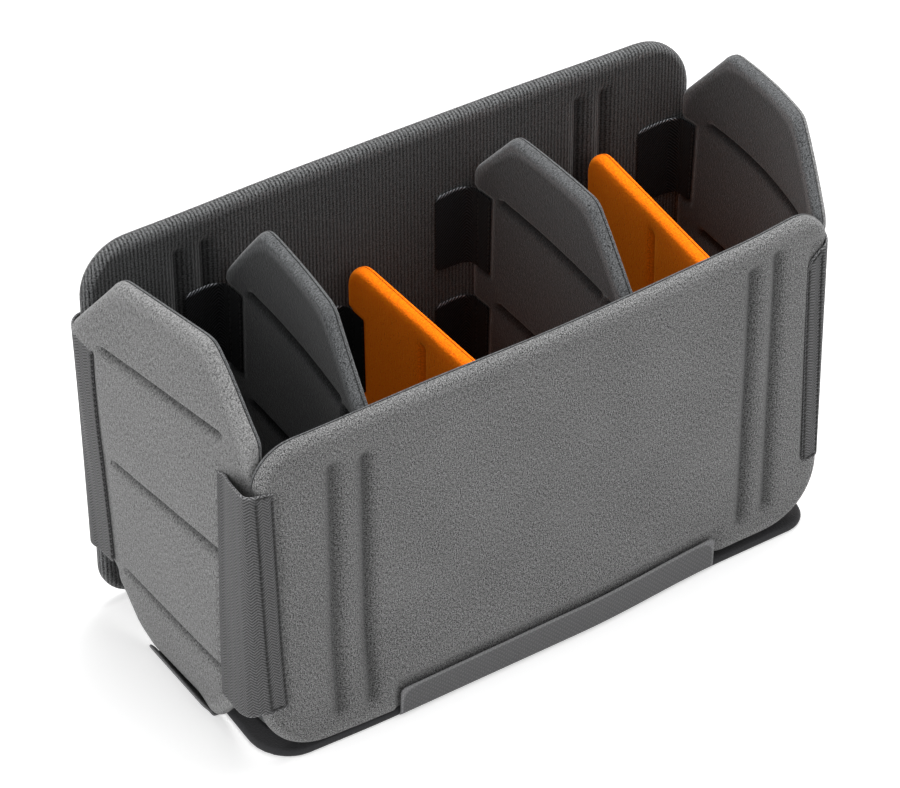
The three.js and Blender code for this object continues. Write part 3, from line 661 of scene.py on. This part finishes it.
def longWallSpec(y, bottom, corners, grooves, bend, rise, **more):
    # u runs to the right, v up and w to the front; bend moves the wall along Y and rise along Z
    def place(u, v, w):
        return u, y - w + bend(u, v), bottom + v + rise(u, v)
    return {**panelDefaults, "corners": corners, "place": place, "bend": bend, "faceGrooves": grooves,
            "grooveWidth": 3.3, "grooveDepth": 2.8, "columnMarks": [(line[0], 6, 0.9) for line in grooves],
            "rowMarks": [(grooves[0][end], 5, 1.2) for end in (1, 3)], **more}


def uprightSpec(middle, turn, bottom, half, bend, lift, **more):
    # u runs to the front, v up and w to the left, out of the moulded face; bend moves the panel along X and
    # lift along Z
    angle = math.radians(turn)

    def place(u, v, w):
        x = middle + u * math.sin(angle) - w * math.cos(angle) + bend(u, v)
        return x, -u * math.cos(angle) - w * math.sin(angle), bottom + v + lift(u, v)
    return {**panelDefaults, "place": place, "grooveWidth": 1.35, "grooveDepth": 2.8, "grooveSkew": 0.35,
            "half": half, "bottom": bottom, "angle": angle, "middle": middle, **more}


def tallGrooves(heights, drop, ends=(-38, 41)):
    # three nearly level grooves whose ends stay clear of the tabs and the webbing
    return [(ends[0], height + drop / 2, ends[1], height - drop / 2) for height in heights]


def grooveMarks(heights):
    return [(height, 3.5, 0.5) for height in heights]


def belly(x):
    # how far the lower edge of the front swells outwards, less towards the right end and the left corner
    return 4.4 * softStep((90 - x) / 85) * (1 - 0.45 * ramp(-x, 95, 60))


rearGrooves = [(u, 14, u, 179) for u in (-116.5, -102.6, 101.8, 116.2)]
frontWall = longWallSpec(
    y=-67, bottom=2.6, corners=[(-163.6, 0, 33), (146, 0, 31), (148.8, 168.4, 22), (-163.6, 168.4, 22)],
    grooves=[(-123.5, 15, -123.5, 147.4), (-107, 14, -107, 146), (101, 16, 101, 152.4),
             (115.7, 18, 115.7, 155)],
    bend=lambda u, v: (4.0 * ramp(u, 95, 60) * ramp(v, 0, 160) - 0.6 * np.cos(u / 90)
                       - belly(u) * softStep(1 - v / 60)),
    rise=lambda u, v: ((5.5 * ramp(u, -20, 160) - 1.5 * ramp(-u, 60, 90)) * v / 168
                       + 3 * ramp(u, -60, 160) * (1 - v / 168)),
    faceRecesses=[(-190, -149.5, 20, 148, 4), (135, 170, 34, 154, 4), (-95, 89, -20, 17.5, 3)],
    looks=("grey_felt", "dark_loop"), notch=lambda v: 2.0 * pulse(v, 36, 150, 6))
rearWall = longWallSpec(
    y=67, bottom=2.8, corners=[(-165.3, 0, 20), (165.5, 0, 24), (167, 196.7, 30), (-165, 196.7, 25)],
    grooves=rearGrooves, backGrooves=rearGrooves, bend=lambda u, v: 0.8 * np.cos(u / 80),
    rise=lambda u, v: (-2.1 - 0.6 * ramp(-u, 60, 60) - 0.9 * ramp(u, 60, 80)) * v / 197,
    looks=("rear_loop", "grey_felt"))

leftLevels = (161.2, 98, 34.5)
rightLevels = (152.6, 93.5, 31)
rightGrooves = tallGrooves(rightLevels, 2)
leftEnd = uprightSpec(
    -159, 2.7, wallBottom, dividerHalf,
    bend=lambda u, v: (-3 - 1.5 * ramp(v, 0, 160) + 3 * ramp(v, 160, 37)
                       + (0.125 * ramp(v, 15, 150) - 0.047) * u
                       + 2.2 * softStep((12 - v) / 12) * pulse(u, -36, 24, 16)),
    lift=lambda u, v: (0.2 + 0.016 * u) * ramp(v, 60, 120),
    corners=tallOutline(dividerHalf, 200.5, (32, 36), (32, 36), rearFoot=(39, 36.5), frontFoot=(27, 33)),
    faceGrooves=tallGrooves(leftLevels, 1.6), rowMarks=grooveMarks(leftLevels),
    faceRecesses=[(41, 90, 20, 147, 4), (-90, -44, 28, 157, 4)],
    backRecesses=[(-90, 17 - dividerHalf, 103, 149, 3)], looks=("pale_felt", "dark_loop"))
rightEnd = uprightSpec(
    153.5, -7.7, wallBottom, dividerHalf, bend=lambda u, v: ramp(v, 0, 190) * (9 - 0.0022 * u * u),
    lift=lambda u, v: 0 * u, corners=tallOutline(dividerHalf, 197, (32, 35), (32, 35)),
    faceGrooves=rightGrooves, backGrooves=rightGrooves, rowMarks=grooveMarks(rightLevels),
    faceRecesses=[(-90, -48, 104, 149, 3)], backRecesses=[(43, 90, 35, 155, 4), (-90, -43, 28, 158, 4)],
    looks=("dark_loop", "pale_felt"))

# Dividers: the tabs' size and heights, the way the top edge falls by the tilt, and the low ones' groove
tab = {"height": 42, "margin": 16, "flap": 17, "corner": 3.2, "thickness": 1.0, "sunk": 0.9, "slack": 1.2}
tabPlaces = {"tall": [("lower_", 67), ("upper_", 128)], "low": [("", 88.5)]}
sway = {"pivot": -28, "from": 140, "run": 50}
lowGroove = {"u": 2, "inset": 13, "width": 2.2, "rows": [(13, 4, 1), (126, 4, 1)], "columns": [(2, 4, 0.5)]}


def dividerSpec(kind, middle, turn, height, bend, half=dividerHalf, raised=0, tilt=0, levels=(), **shape):
    # the panel has a pressed recess and a narrow waist wherever a tab is sewn on
    heights = [height for _, height in tabPlaces[kind]]
    reach, sewn = tab["height"] / 2 + tab["slack"], half - tab["margin"] - tab["slack"]
    marks = [(height + side * reach, 3, 0.8) for height in heights for side in (-1, 1)]
    common = {
        "kind": kind, "lift": lambda u, v: -tilt * (u - sway["pivot"]) * ramp(v, sway["from"], sway["run"]),
        "notch": lambda v: 2.6 * sum(pulse(v, height - reach + 2, height + reach - 2, 5) for height in heights),
        "faceRecesses": [(low, high, height - reach, height + reach, 3) for height in heights
                         for low, high in ((-90, -sewn), (sewn, 90))]}
    bottom = dividerBottom + raised
    if kind == "tall":
        return uprightSpec(middle, turn, bottom, half, bend, corners=tallOutline(half, height, **shape),
                           faceGrooves=tallGrooves(levels, 4), rowMarks=marks + grooveMarks(levels),
                           looks=("dark_loop", "dark_loop"), **common)
    line = (lowGroove["u"], lowGroove["inset"], lowGroove["u"], height - lowGroove["inset"])
    return uprightSpec(middle, turn, bottom, half, bend, board=False, faceGrooves=[line], sideColumns=16,
                       corners=boxOutline(-half, half, height, 18, 18, 15, 15), grooveSkew=0,
                       rowMarks=marks + lowGroove["rows"], columnMarks=lowGroove["columns"],
                       grooveWidth=lowGroove["width"], looks=("orange_felt", "orange_felt"), **common)


walls = {"front_wall": frontWall, "rear_wall": rearWall, "left_end_wall": leftEnd, "right_end_wall": rightEnd}
dividers = {
    "left_tall_divider": dividerSpec(
        "tall", -95, -2, 193, lambda u, v: ramp(v, 0, 170) * (2 - 0.001 * u * u - 0.04 * u),
        tilt=0.1, rearTop=(32, 38.5), levels=(153, 94, 30)),
    "left_low_divider": dividerSpec("low", -27, -1, 136, lambda u, v: -1.4 * ramp(v, 0, 150)),
    "right_tall_divider": dividerSpec(
        "tall", 40, -2, 189.5, lambda u, v: ramp(v, 0, 170) * (3.5 - 0.0008 * u * u),
        rearTop=(29, 30), frontTop=(33, 34), levels=(150, 92.5, 30)),
    "right_low_divider": dividerSpec(
        "low", 102.5, -7.7, 144.5, lambda u, v: -3 * ramp(v, 0, 150), half=62.0, raised=3),
}
for panelName, spec in {**walls, **dividers}.items():
    buildPanel(panelName, "shell" if panelName in walls else panelName, spec)
print("panels built")

# Straps: tape laid along a plan curve, with one curve for each height, and the thread that sews it
tape = {"thickness": 1.1, "rim": 0.5, "corner": 1.4, "coarse": 0.9, "rowCoarse": 4, "sideKeep": 1.5,
        "sideColumns": 5, "rimFade": 0.7, "dent": 0.3, "dentWidth": 0.8, "dentPressed": 0.8}
stitch = {"length": 2.2, "pitch": 3.1, "width": 1.05, "height": 0.6, "lift": 0.62,
          "stations": [-1, -0.85, -0.45, 0.45, 0.85, 1], "girths": [0.3, 0.8, 1, 1, 0.8, 0.3]}


def routeCurve(points, samples, steps=16):
    # Catmull-Rom: the curve leaves each point along the chord between its neighbours; then even steps of arc
    points = np.asarray(points, float)
    ends = np.concatenate([[2 * points[0] - points[1]], points, [2 * points[-1] - points[-2]]])
    t = np.linspace(0, 1, steps, endpoint=False)[None, :, None]
    p0, p1, p2, p3 = (ends[shift:len(ends) - 3 + shift, None, :] for shift in range(4))
    curve = 0.5 * (2 * p1 + (p2 - p0) * t + (2 * p0 - 5 * p1 + 4 * p2 - p3) * t ** 2
                   + (3 * p1 - p0 - 3 * p2 + p3) * t ** 3)
    curve = np.concatenate([curve.reshape(-1, 2), points[-1:]])
    run = np.concatenate([[0], np.cumsum(np.linalg.norm(np.diff(curve, axis=0), axis=1))])
    even = np.linspace(0, run[-1], samples)
    return np.column_stack([np.interp(even, run, curve[:, axis]) for axis in (0, 1)]), run[-1]


def strapSurface(routeAt, height, towards, levels=9, samples=161):
    # a ruled net of plan curves: place = curve(u) at height v plus w times the curve's normal, which points
    # towards a given side
    curves = [routeCurve(routeAt(share), samples) for share in np.linspace(0, 1, levels)]
    nets = np.array([curve for curve, run in curves])
    length = sum(run for curve, run in curves) / levels
    along = np.gradient(nets, axis=1)
    along /= np.linalg.norm(along, axis=2, keepdims=True)
    across = np.stack([along[..., 1], -along[..., 0]], -1)
    centre = (levels // 2, samples // 2)
    if across[centre] @ (np.array(towards) - nets[centre]) < 0:
        across = -across

    def place(u, v, w):
        column = np.clip(u / length + 0.5, 0, 1) * (samples - 1)
        row = np.clip(v / height, 0, 1) * (levels - 1)
        left = np.minimum(column.astype(int), samples - 2)
        base = np.minimum(row.astype(int), levels - 2)
        part, rise = (column - left)[:, None], (row - base)[:, None]
        middle, normal = (
            (table[base, left] * (1 - part) + table[base, left + 1] * part) * (1 - rise)
            + (table[base + 1, left] * (1 - part) + table[base + 1, left + 1] * part) * rise
            for table in (nets, across))
        return middle[:, 0] + normal[:, 0] * w, middle[:, 1] + normal[:, 1] * w
    return place, length


def tapeBody(name, place, length, height, look, corners=(0, 0, 0, 0), rows=(), **more):
    # a strap of tape, pressed in along its sewn rows (u0, v0, u1, v1), with painted shade along the dents
    half, thick = length / 2, more.pop("thickness", tape["thickness"]) / 2
    corners = [corner or tape["corner"] for corner in corners]

    def top(u, v):
        dent = np.exp(-((nearestLine(u, v, rows) / tape["dentWidth"]) ** 2))
        return thick - tape["dent"] * dent, tape["dentPressed"] * dent
    shape = {"corners": boxOutline(-half, half, height, *corners), "top": top,
             "bottom": lambda u, v: 0 * u - thick,
             "columnMarks": [(row[0], 0.9, 0.3) for row in rows if row[0] == row[2]]}
    return paddedBody(name, {**tape, **shape, **more}, place, cloths[look])


def sewRows(name, place, rows, body, lift=stitch["lift"]):
    # dashes of thread along each row: a bar of six sides whose girth shrinks to both ends, laid on the tape by
    # the tape's own placing function
    ends = np.array(stitch["stations"]) * stitch["length"] / 2
    girth = np.array(stitch["girths"])[:, None] / 2
    angle = np.arange(6) * math.pi / 3
    bar = np.stack([np.repeat(ends[:, None], 6, 1), girth * np.cos(angle) * stitch["width"],
                    girth * np.sin(angle) * stitch["height"]], -1).reshape(-1, 3)
    ring = np.arange(6)
    quads = np.concatenate([stripQuads(ring + 6 * step, ring + 6 * step + 6) for step in range(5)]
                           + [[[3, 2, 1, 0], [5, 4, 3, 0], [30, 31, 32, 33], [30, 33, 34, 35]]])
    points = []
    for u0, v0, u1, v1 in rows:
        run = math.hypot(u1 - u0, v1 - v0)
        way = np.array([u1 - u0, v1 - v0]) / run
        middles = (np.arange(max(int(run / stitch["pitch"]), 1)) + 0.5) * stitch["pitch"]
        centre = np.array([u0, v0]) + way * middles[:, None]
        flat = centre[:, None, :] + way * bar[:, :1] + np.array([-way[1], way[0]]) * bar[:, 1:2]
        height = np.repeat(bar[None, :, 2] + lift, len(middles), 0)
        points.append(np.concatenate([flat, height[..., None]], -1))
    points = np.concatenate(points)
    quads = (quads[None] + np.arange(len(points))[:, None, None] * len(bar)).reshape(-1, 4)
    points = points.reshape(-1, 3)
    obj = makeMesh(name, np.column_stack(place(*points.T)), quads, points[:, :2], {}, cloths["thread"])
    finishPiece(obj, body, [])


# Corner webbings. onEnd: the tape's places along the end wall, as that wall's u at the tape's lower and upper
# edge. low, high: plan points of the free bend at each edge. onLong: both edges' x with the y on the long wall.
# lowEdge, highEdge: how far each edge is lifted, in even steps from the end wall to the long wall
cornerTapes = {
    "front_left": {
        "bottom": 26, "height": 124, "onEnd": [(41.2, 38.6), (45.5, 44.3)],
        "low": [(-165.6, -51), (-166.4, -56), (-166.7, -61.5), (-166.2, -65.5), (-164.5, -68.2), (-162.2, -70)],
        "high": [(-163.2, -50.5), (-164.4, -55), (-165.4, -60), (-166.2, -65), (-165.9, -68.2), (-163.8, -70)],
        "onLong": [((-159.5, -160.5), -70.7), ((-155, -157), -70.8), ((-150, -153.4), -70.8)],
        "lowEdge": [-1.6, -1.8, -1, 0.4, 2.4, 5, 5.3, 5], "highEdge": [-4, -2.8, -1.2, 0.2, 1.4, 2, 1.4, 0.4],
        "corners": (2.5, 0, 0, 0)},
    "front_right": {
        "bottom": 40, "height": 118, "onEnd": [(44, 44), (50, 50)],
        "low": [(149.4, -57.5), (149.2, -61.5), (148.1, -65.4), (146.3, -68.2), (143.8, -69.6)],
        "high": [(151.4, -56), (150.3, -59.2), (148.7, -62.4), (146.9, -65.2), (144.6, -66.8)],
        "onLong": [((141.4, 141), -70.1), ((138.8, 138), -70.4), ((136.4, 134.6), -70.4)],
        "lowEdge": [-1, -1, -1, -1, -1.2, -1.6, -2.2, -2.4], "highEdge": [0, 0, 0, 0, 0, -1, -4.5, -7.5],
        "corners": (0, 0, 3, 0)},
    "rear_left": {
        "bottom": 37, "height": 125, "onEnd": [(-50, -44.5), (-54, -51), (-58.5, -57.5)],
        "low": [(-165.6, 62.5), (-166.4, 66.5), (-165.4, 70.2), (-162.6, 71.5)],
        "high": [(-172.4, 60.6), (-170.6, 64.4), (-167.4, 68.6), (-163.2, 71.4)],
        "onLong": [((-158, -158), 71.7), ((-152, -152), 71.7)], "highEdge": [0, 1.6, 3, 3, 2, 1, 0, 0]},
    "rear_right": {
        "bottom": 34, "height": 126, "onEnd": [(-44.5, -44.5), (-51, -51), (-57, -57)],
        "low": [(165.4, 63), (167.6, 67), (166.6, 70.6), (163.4, 71.6)],
        "high": [(168, 62.6), (168.8, 67), (167, 70.6), (163.6, 71.6)],
        "onLong": [((158, 158), 71.7), ((152, 152), 71.7)]},
}
webbing = {"lowEdge": [0] * 8, "highEdge": [0] * 8, "corners": (0, 0, 0, 0), "onFace": 3.1, "farAway": 400}


def webbingRows(front, half, high):
    # the front webbings are sewn round a patch on the long wall, the rear ones along the end and the long wall
    if front:
        near, far = half - 1.1, half - 8.6
        return [(near, 2.2, near, high - 1.6), (far, 2.2, far, high - 1.6), (far, 2, near, 2),
                (far, high - 1.5, near, high - 1.5)]
    return [(u, 2, u, high - 2) for u in (0.9 - half, half - 1.6, half - 9)]


def buildCornerTape(key, spec):
    spec = {**webbing, **spec}
    front, left = key.startswith("front"), key.endswith("left")
    endWall, onFace = (leftEnd, spec["onFace"]) if left else (rightEnd, -spec["onFace"])
    high = spec["height"]

    def routeAt(share):
        height = spec["bottom"] + share * high
        points = []
        for low, up in spec["onEnd"]:
            u = low + (up - low) * share
            points.append(endWall["place"](u, height - wallBottom, onFace)[:2])
        points += [np.array(low) * (1 - share) + np.array(up) * share
                   for low, up in zip(spec["low"], spec["high"])]
        for (low, up), y in spec["onLong"]:
            x = low + (up - low) * share
            points.append((x, y + (frontWall["bend"](x, height - 4) if front else 0)))
        return points
    outside = np.array([-1 if left else 1, -1 if front else 1]) * spec["farAway"]
    flatPlace, length = strapSurface(routeAt, high, outside)
    shares = np.linspace(0, 1, len(spec["lowEdge"]))

    def place(u, v, w):
        rise = v / high
        share = u / length + 0.5
        lift = ((1 - rise) * np.interp(share, shares, spec["lowEdge"])
                + rise * np.interp(share, shares, spec["highEdge"]))
        return (*flatPlace(u, v, w), spec["bottom"] + v + lift)
    rows = webbingRows(front, length / 2, high)
    name = f"{key}_corner_tape"
    obj = tapeBody(name, place, length, high, "twill_webbing", spec["corners"], rows,
                   # the painted rim highlight only on the top and bottom edges
                   rimLight=lambda u, v: np.maximum(ramp(v, high - 1.5, 1.2), softStep((1.5 - v) / 1.2)))
    finishPiece(obj, "shell", [f"{key}_corner_webbing"])
    sewRows(f"{name}_stitches", place, rows, "shell")


for tapeKey, tapeSpec in cornerTapes.items():
    buildCornerTape(tapeKey, tapeSpec)
print("corner webbings built")

# Base strips: the tape's section stands on a wall's outer plane and curls in under the base
baseStrips = {
    "front": {"origin": (-5, -71.9), "turn": 0, "length": 178.5, "tops": (16.4, 18.6), "foot": 7, "lean": 0.5},
    "rear": {"origin": (0, 72), "turn": 180, "length": 176, "tops": (17.5, 17.5), "foot": 7, "lean": 0.5},
    "left": {"origin": (-162.6, -3), "turn": -92.2, "length": 52, "tops": (8, 8.4), "foot": 12, "lean": 3.9},
    "right": {"origin": (157.6, 0), "turn": 82.3, "length": 50, "tops": (9, 9), "foot": 12, "lean": 3},
}


def buildBaseStrip(key, spec):
    # the section's points are (inwards from the wall, height), from the foot round the curl to the top
    angle = math.radians(spec["turn"])
    foot, lean = spec["foot"], spec["lean"]
    originX, originY = spec["origin"]

    def routeAt(share):
        top = spec["tops"][0] + (spec["tops"][1] - spec["tops"][0]) * share
        return [(foot, 0.66), (foot / 2, 0.64), (2, 0.74), (0.6, 1.6), (-0.07 * lean, 3.4),
                (-0.5 * lean, (3.4 + top) / 2), (-lean, top)]
    section, width = strapSurface(routeAt, spec["length"], (-30, 10))

    def place(u, v, w):
        inward, z = section(u, v, w)
        run = v - spec["length"] / 2
        if key == "front":
            inward = inward - belly(originX + run)
        return (originX + run * math.cos(angle) - inward * math.sin(angle),
                originY + run * math.sin(angle) + inward * math.cos(angle), z)
    obj = tapeBody(f"{key}_base_tape", place, width, spec["length"], "strip_webbing", (0, 3, 3, 0), coarse=0.6)
    finishPiece(obj, "shell", [f"{key}_base_strip"])


for stripKey, stripSpec in baseStrips.items():
    buildBaseStrip(stripKey, stripSpec)
print("base strips built")

# Base and floor pad: plan corners (x, y, radius), heights, the rim that falls away, and the base's share of the
# front wall's swell
slabs = {
    "base": {"corners": [(-163.4, -71.6, 20), (143.4, -71.6, 15), (161.5, 70.6, 30), (-152, 70.6, 30)],
             "bottom": 0.05, "top": 4.4, "rim": 1.9, "fall": 1.4, "look": "base_felt", "node": "base_shell",
             "fill": 0.4, "swell": 0.85},
    "floor": {"corners": [(-152.5, -61.5, 14), (138.5, -61.5, 14), (154.5, 61.5, 22), (-148.5, 61.5, 22)],
              "bottom": 4.9, "top": 8.9, "rim": 1.8, "fall": 1.2, "look": "dark_loop", "node": "floor_pad",
              "fill": 0.5, "swell": 0},
}


slab = {"fallReach": 4, "swellReach": 70}


def buildSlab(key, spec):
    def top(u, v):
        edge = np.maximum(edgeDistance(spec["corners"], u, v), 0)
        return spec["top"] - spec["fall"] * np.exp(-edge / slab["fallReach"]), 0 * u

    def place(u, v, w):
        return u, v - spec["swell"] * belly(u) * softStep(-v / slab["swellReach"]), w
    shape = {"corners": spec["corners"], "rim": spec["rim"], "coarse": 4, "sideColumns": 16, "top": top,
             "bottom": lambda u, v: spec["bottom"] + 0 * u}
    obj = paddedBody(f"{key}_slab", shape, place, cloths[spec["look"]])
    finishPiece(obj, "shell", [spec["node"]])


for slabKey, slabSpec in slabs.items():
    buildSlab(slabKey, slabSpec)
print("base built")

# Hook tabs: the margin lies in the panel's recess, the free part turns the corner and lies on the long wall
fold = {"hingeOut": 4.9, "hingeAcross": 62.1, "wallFace": 4, "cornerInset": 2.4, "cornerLift": 0.3,
        "firstReach": 1.6, "firstGap": 1.3, "gap": 0.75, "blendHalf": 1.3, "sewnInner": 9.6, "sewnEdge": 1.4,
        "endClear": 1.5, "bow": 0.6, "droop": 0.3, "stitchLift": 0.42, "towards": 25}


def buildTab(name, spec, body, end, side, height, flap=tab["flap"], margin=tab["margin"]):
    # end is 1 at the front wall and -1 at the rear one, side is 1 on the panel's face and -1 on its back
    wall = rearWall if end < 0 else frontWall
    level = panel["thickness"] / 2 - tab["sunk"]
    hingeW = side * fold["hingeOut"]
    angle = spec["angle"]
    hingeY = -end * fold["hingeAcross"]
    hingeU = -(hingeY + hingeW * math.sin(angle)) / math.cos(angle)
    hingeX = spec["middle"] + hingeU * math.sin(angle) - hingeW * math.cos(angle)
    high = tab["height"]
    bottom = height - high / 2

    def routeAt(share):
        v = bottom + share * high
        insets = [(margin, 0), (margin * 0.66, 0), (margin * 0.33, 0), (5, 0),
                  (fold["cornerInset"], fold["cornerLift"])]
        points = [spec["place"](end * (spec["half"] - inset), v, side * (level + lift))[:2]
                  for inset, lift in insets]
        gap = fold["firstGap"]
        for reach in (fold["firstReach"], flap * 0.36, flap * 0.68, flap):
            x = hingeX - side * reach
            points.append((x, wall["place"](x, spec["bottom"] + v - 4, -end * fold["wallFace"])[1] + end * gap))
            gap = fold["gap"]
        return points
    towards = (hingeX - side * fold["towards"], hingeY + end * fold["towards"])
    flatPlace, length = strapSurface(routeAt, high, towards, levels=5)
    foldShare = margin / length - 0.5

    def place(u, v, w):
        # the free part's upper edge bows up and its end droops, with the square of the height
        free = np.clip((u / length - foldShare) / (0.5 - foldShare), 0, 1)
        bow = fold["bow"] * np.sin(math.pi * free ** 0.8) - fold["droop"] * free
        return (*flatPlace(u, v, w), spec["bottom"] + bottom + v + bow * (v / high) ** 2)
    rows = [(inset - length / 2, fold["endClear"], inset - length / 2, high - fold["endClear"])
            for inset in (fold["sewnInner"], fold["sewnEdge"])]
    obj = tapeBody(f"{name}_tape", place, length, high, "hook_tab", (0, tab["corner"], tab["corner"], 0), rows,
                   thickness=tab["thickness"], coarse=0.8, rowCoarse=3,
                   # the painted rim highlight only on the free part's top edge
                   rimLight=lambda u, v: ramp(v, high - 2, 1.5) * ramp(u, foldShare * length, 3))
    hinge = np.array([hingeX, hingeY, spec["bottom"] + height])
    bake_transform(obj)
    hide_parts(f"{name}_margin", f"{name}_flap")
    sewRows(f"{name}_stitches", place, rows, body, fold["stitchLift"])


buildTab("left_end_wall_tab", leftEnd, "shell", -1, -1, 126)
buildTab("right_end_wall_tab", rightEnd, "shell", -1, 1, 126.5, flap=21, margin=13)
for dividerName, spec in dividers.items():
    for label, height in tabPlaces[spec["kind"]]:
        for endName, end in (("rear", -1), ("front", 1)):
            buildTab(f"{dividerName}_{endName}_{label}tab", spec, dividerName, end, 1, height)
print("tabs built")

# Stage in metres and watts: pale paper that the camera sees as white, a soft sky and three soft lamps
stage = {"floorHalf": 6, "paper": (0.82, 0.82, 0.82, 1), "paperGlow": 0.49, "skyLight": 0.42, "skySeen": 0.58}
lamps = {
    "topLamp": {"place": (0.45, 0.25, 1.8), "size": (1.2, 1.2), "power": 26},
    "leftLamp": {"place": (-2.2, 0.1, 1.0), "size": (2.6, 2.0), "power": 20},
    "frontLamp": {"place": (0.4, -2.0, 0.9), "size": (1.8, 1.4), "power": 9},
}
lampAim = (0, 0, 0.1)


def seenDirectly(tree):
    # 1 on rays from the camera, off something glossy or through something clear, and 0 on the light's own rays
    camera, glossy, clear = [makeNode(tree, "ShaderNodeLightPath", output=f"Is {kind} Ray")
                             for kind in ("Camera", "Glossy", "Transmission")]
    return camera.calc("MAXIMUM", glossy.calc("MAXIMUM", clear))


def makeStage():
    mesh = bpy.data.meshes.new("studioFloor")
    half = stage["floorHalf"]
    corners = [(x * half, y * half, 0) for x, y in ((-1, -1), (1, -1), (1, 1), (-1, 1))]
    mesh.from_pydata(corners, [], [(0, 1, 2, 3)])
    material, tree, shader = startMaterial("floorPaper")
    joinAll(tree, shader, {
        "Base Color": stage["paper"], "Roughness": 0.9, "Specular IOR Level": 0.1,
        "Emission Color": (1, 1, 1, 1), "Emission Strength": seenDirectly(tree) * stage["paperGlow"]})
    mesh.materials.append(material)
    addObject("studioFloor", mesh)
    world = bpy.data.worlds.new("studioSky")
    bpy.context.scene.world = world
    world.use_nodes = True
    joinAll(world.node_tree, world.node_tree.nodes["Background"].inputs, {
        "Strength": stage["skyLight"] + seenDirectly(world.node_tree) * stage["skySeen"],
        "Color": (1, 1, 1, 1)})


def addLamp(name, spec):
    data = bpy.data.lights.new(name, "AREA")
    data.shape = "RECTANGLE"
    data.size, data.size_y = spec["size"]
    data.energy = spec["power"]
    lamp = addObject(name, data)
    lamp.location = spec["place"]
    x, y, z = np.array(lampAim) - np.array(spec["place"])
    lamp.rotation_euler = (math.atan2(math.hypot(x, y), -z), 0, math.atan2(y, x) - math.pi / 2)


makeStage()
for lampName, lampSpec in lamps.items():
    addLamp(lampName, lampSpec)
bpy.context.scene.view_settings.view_transform = "Standard"
print("stage set")
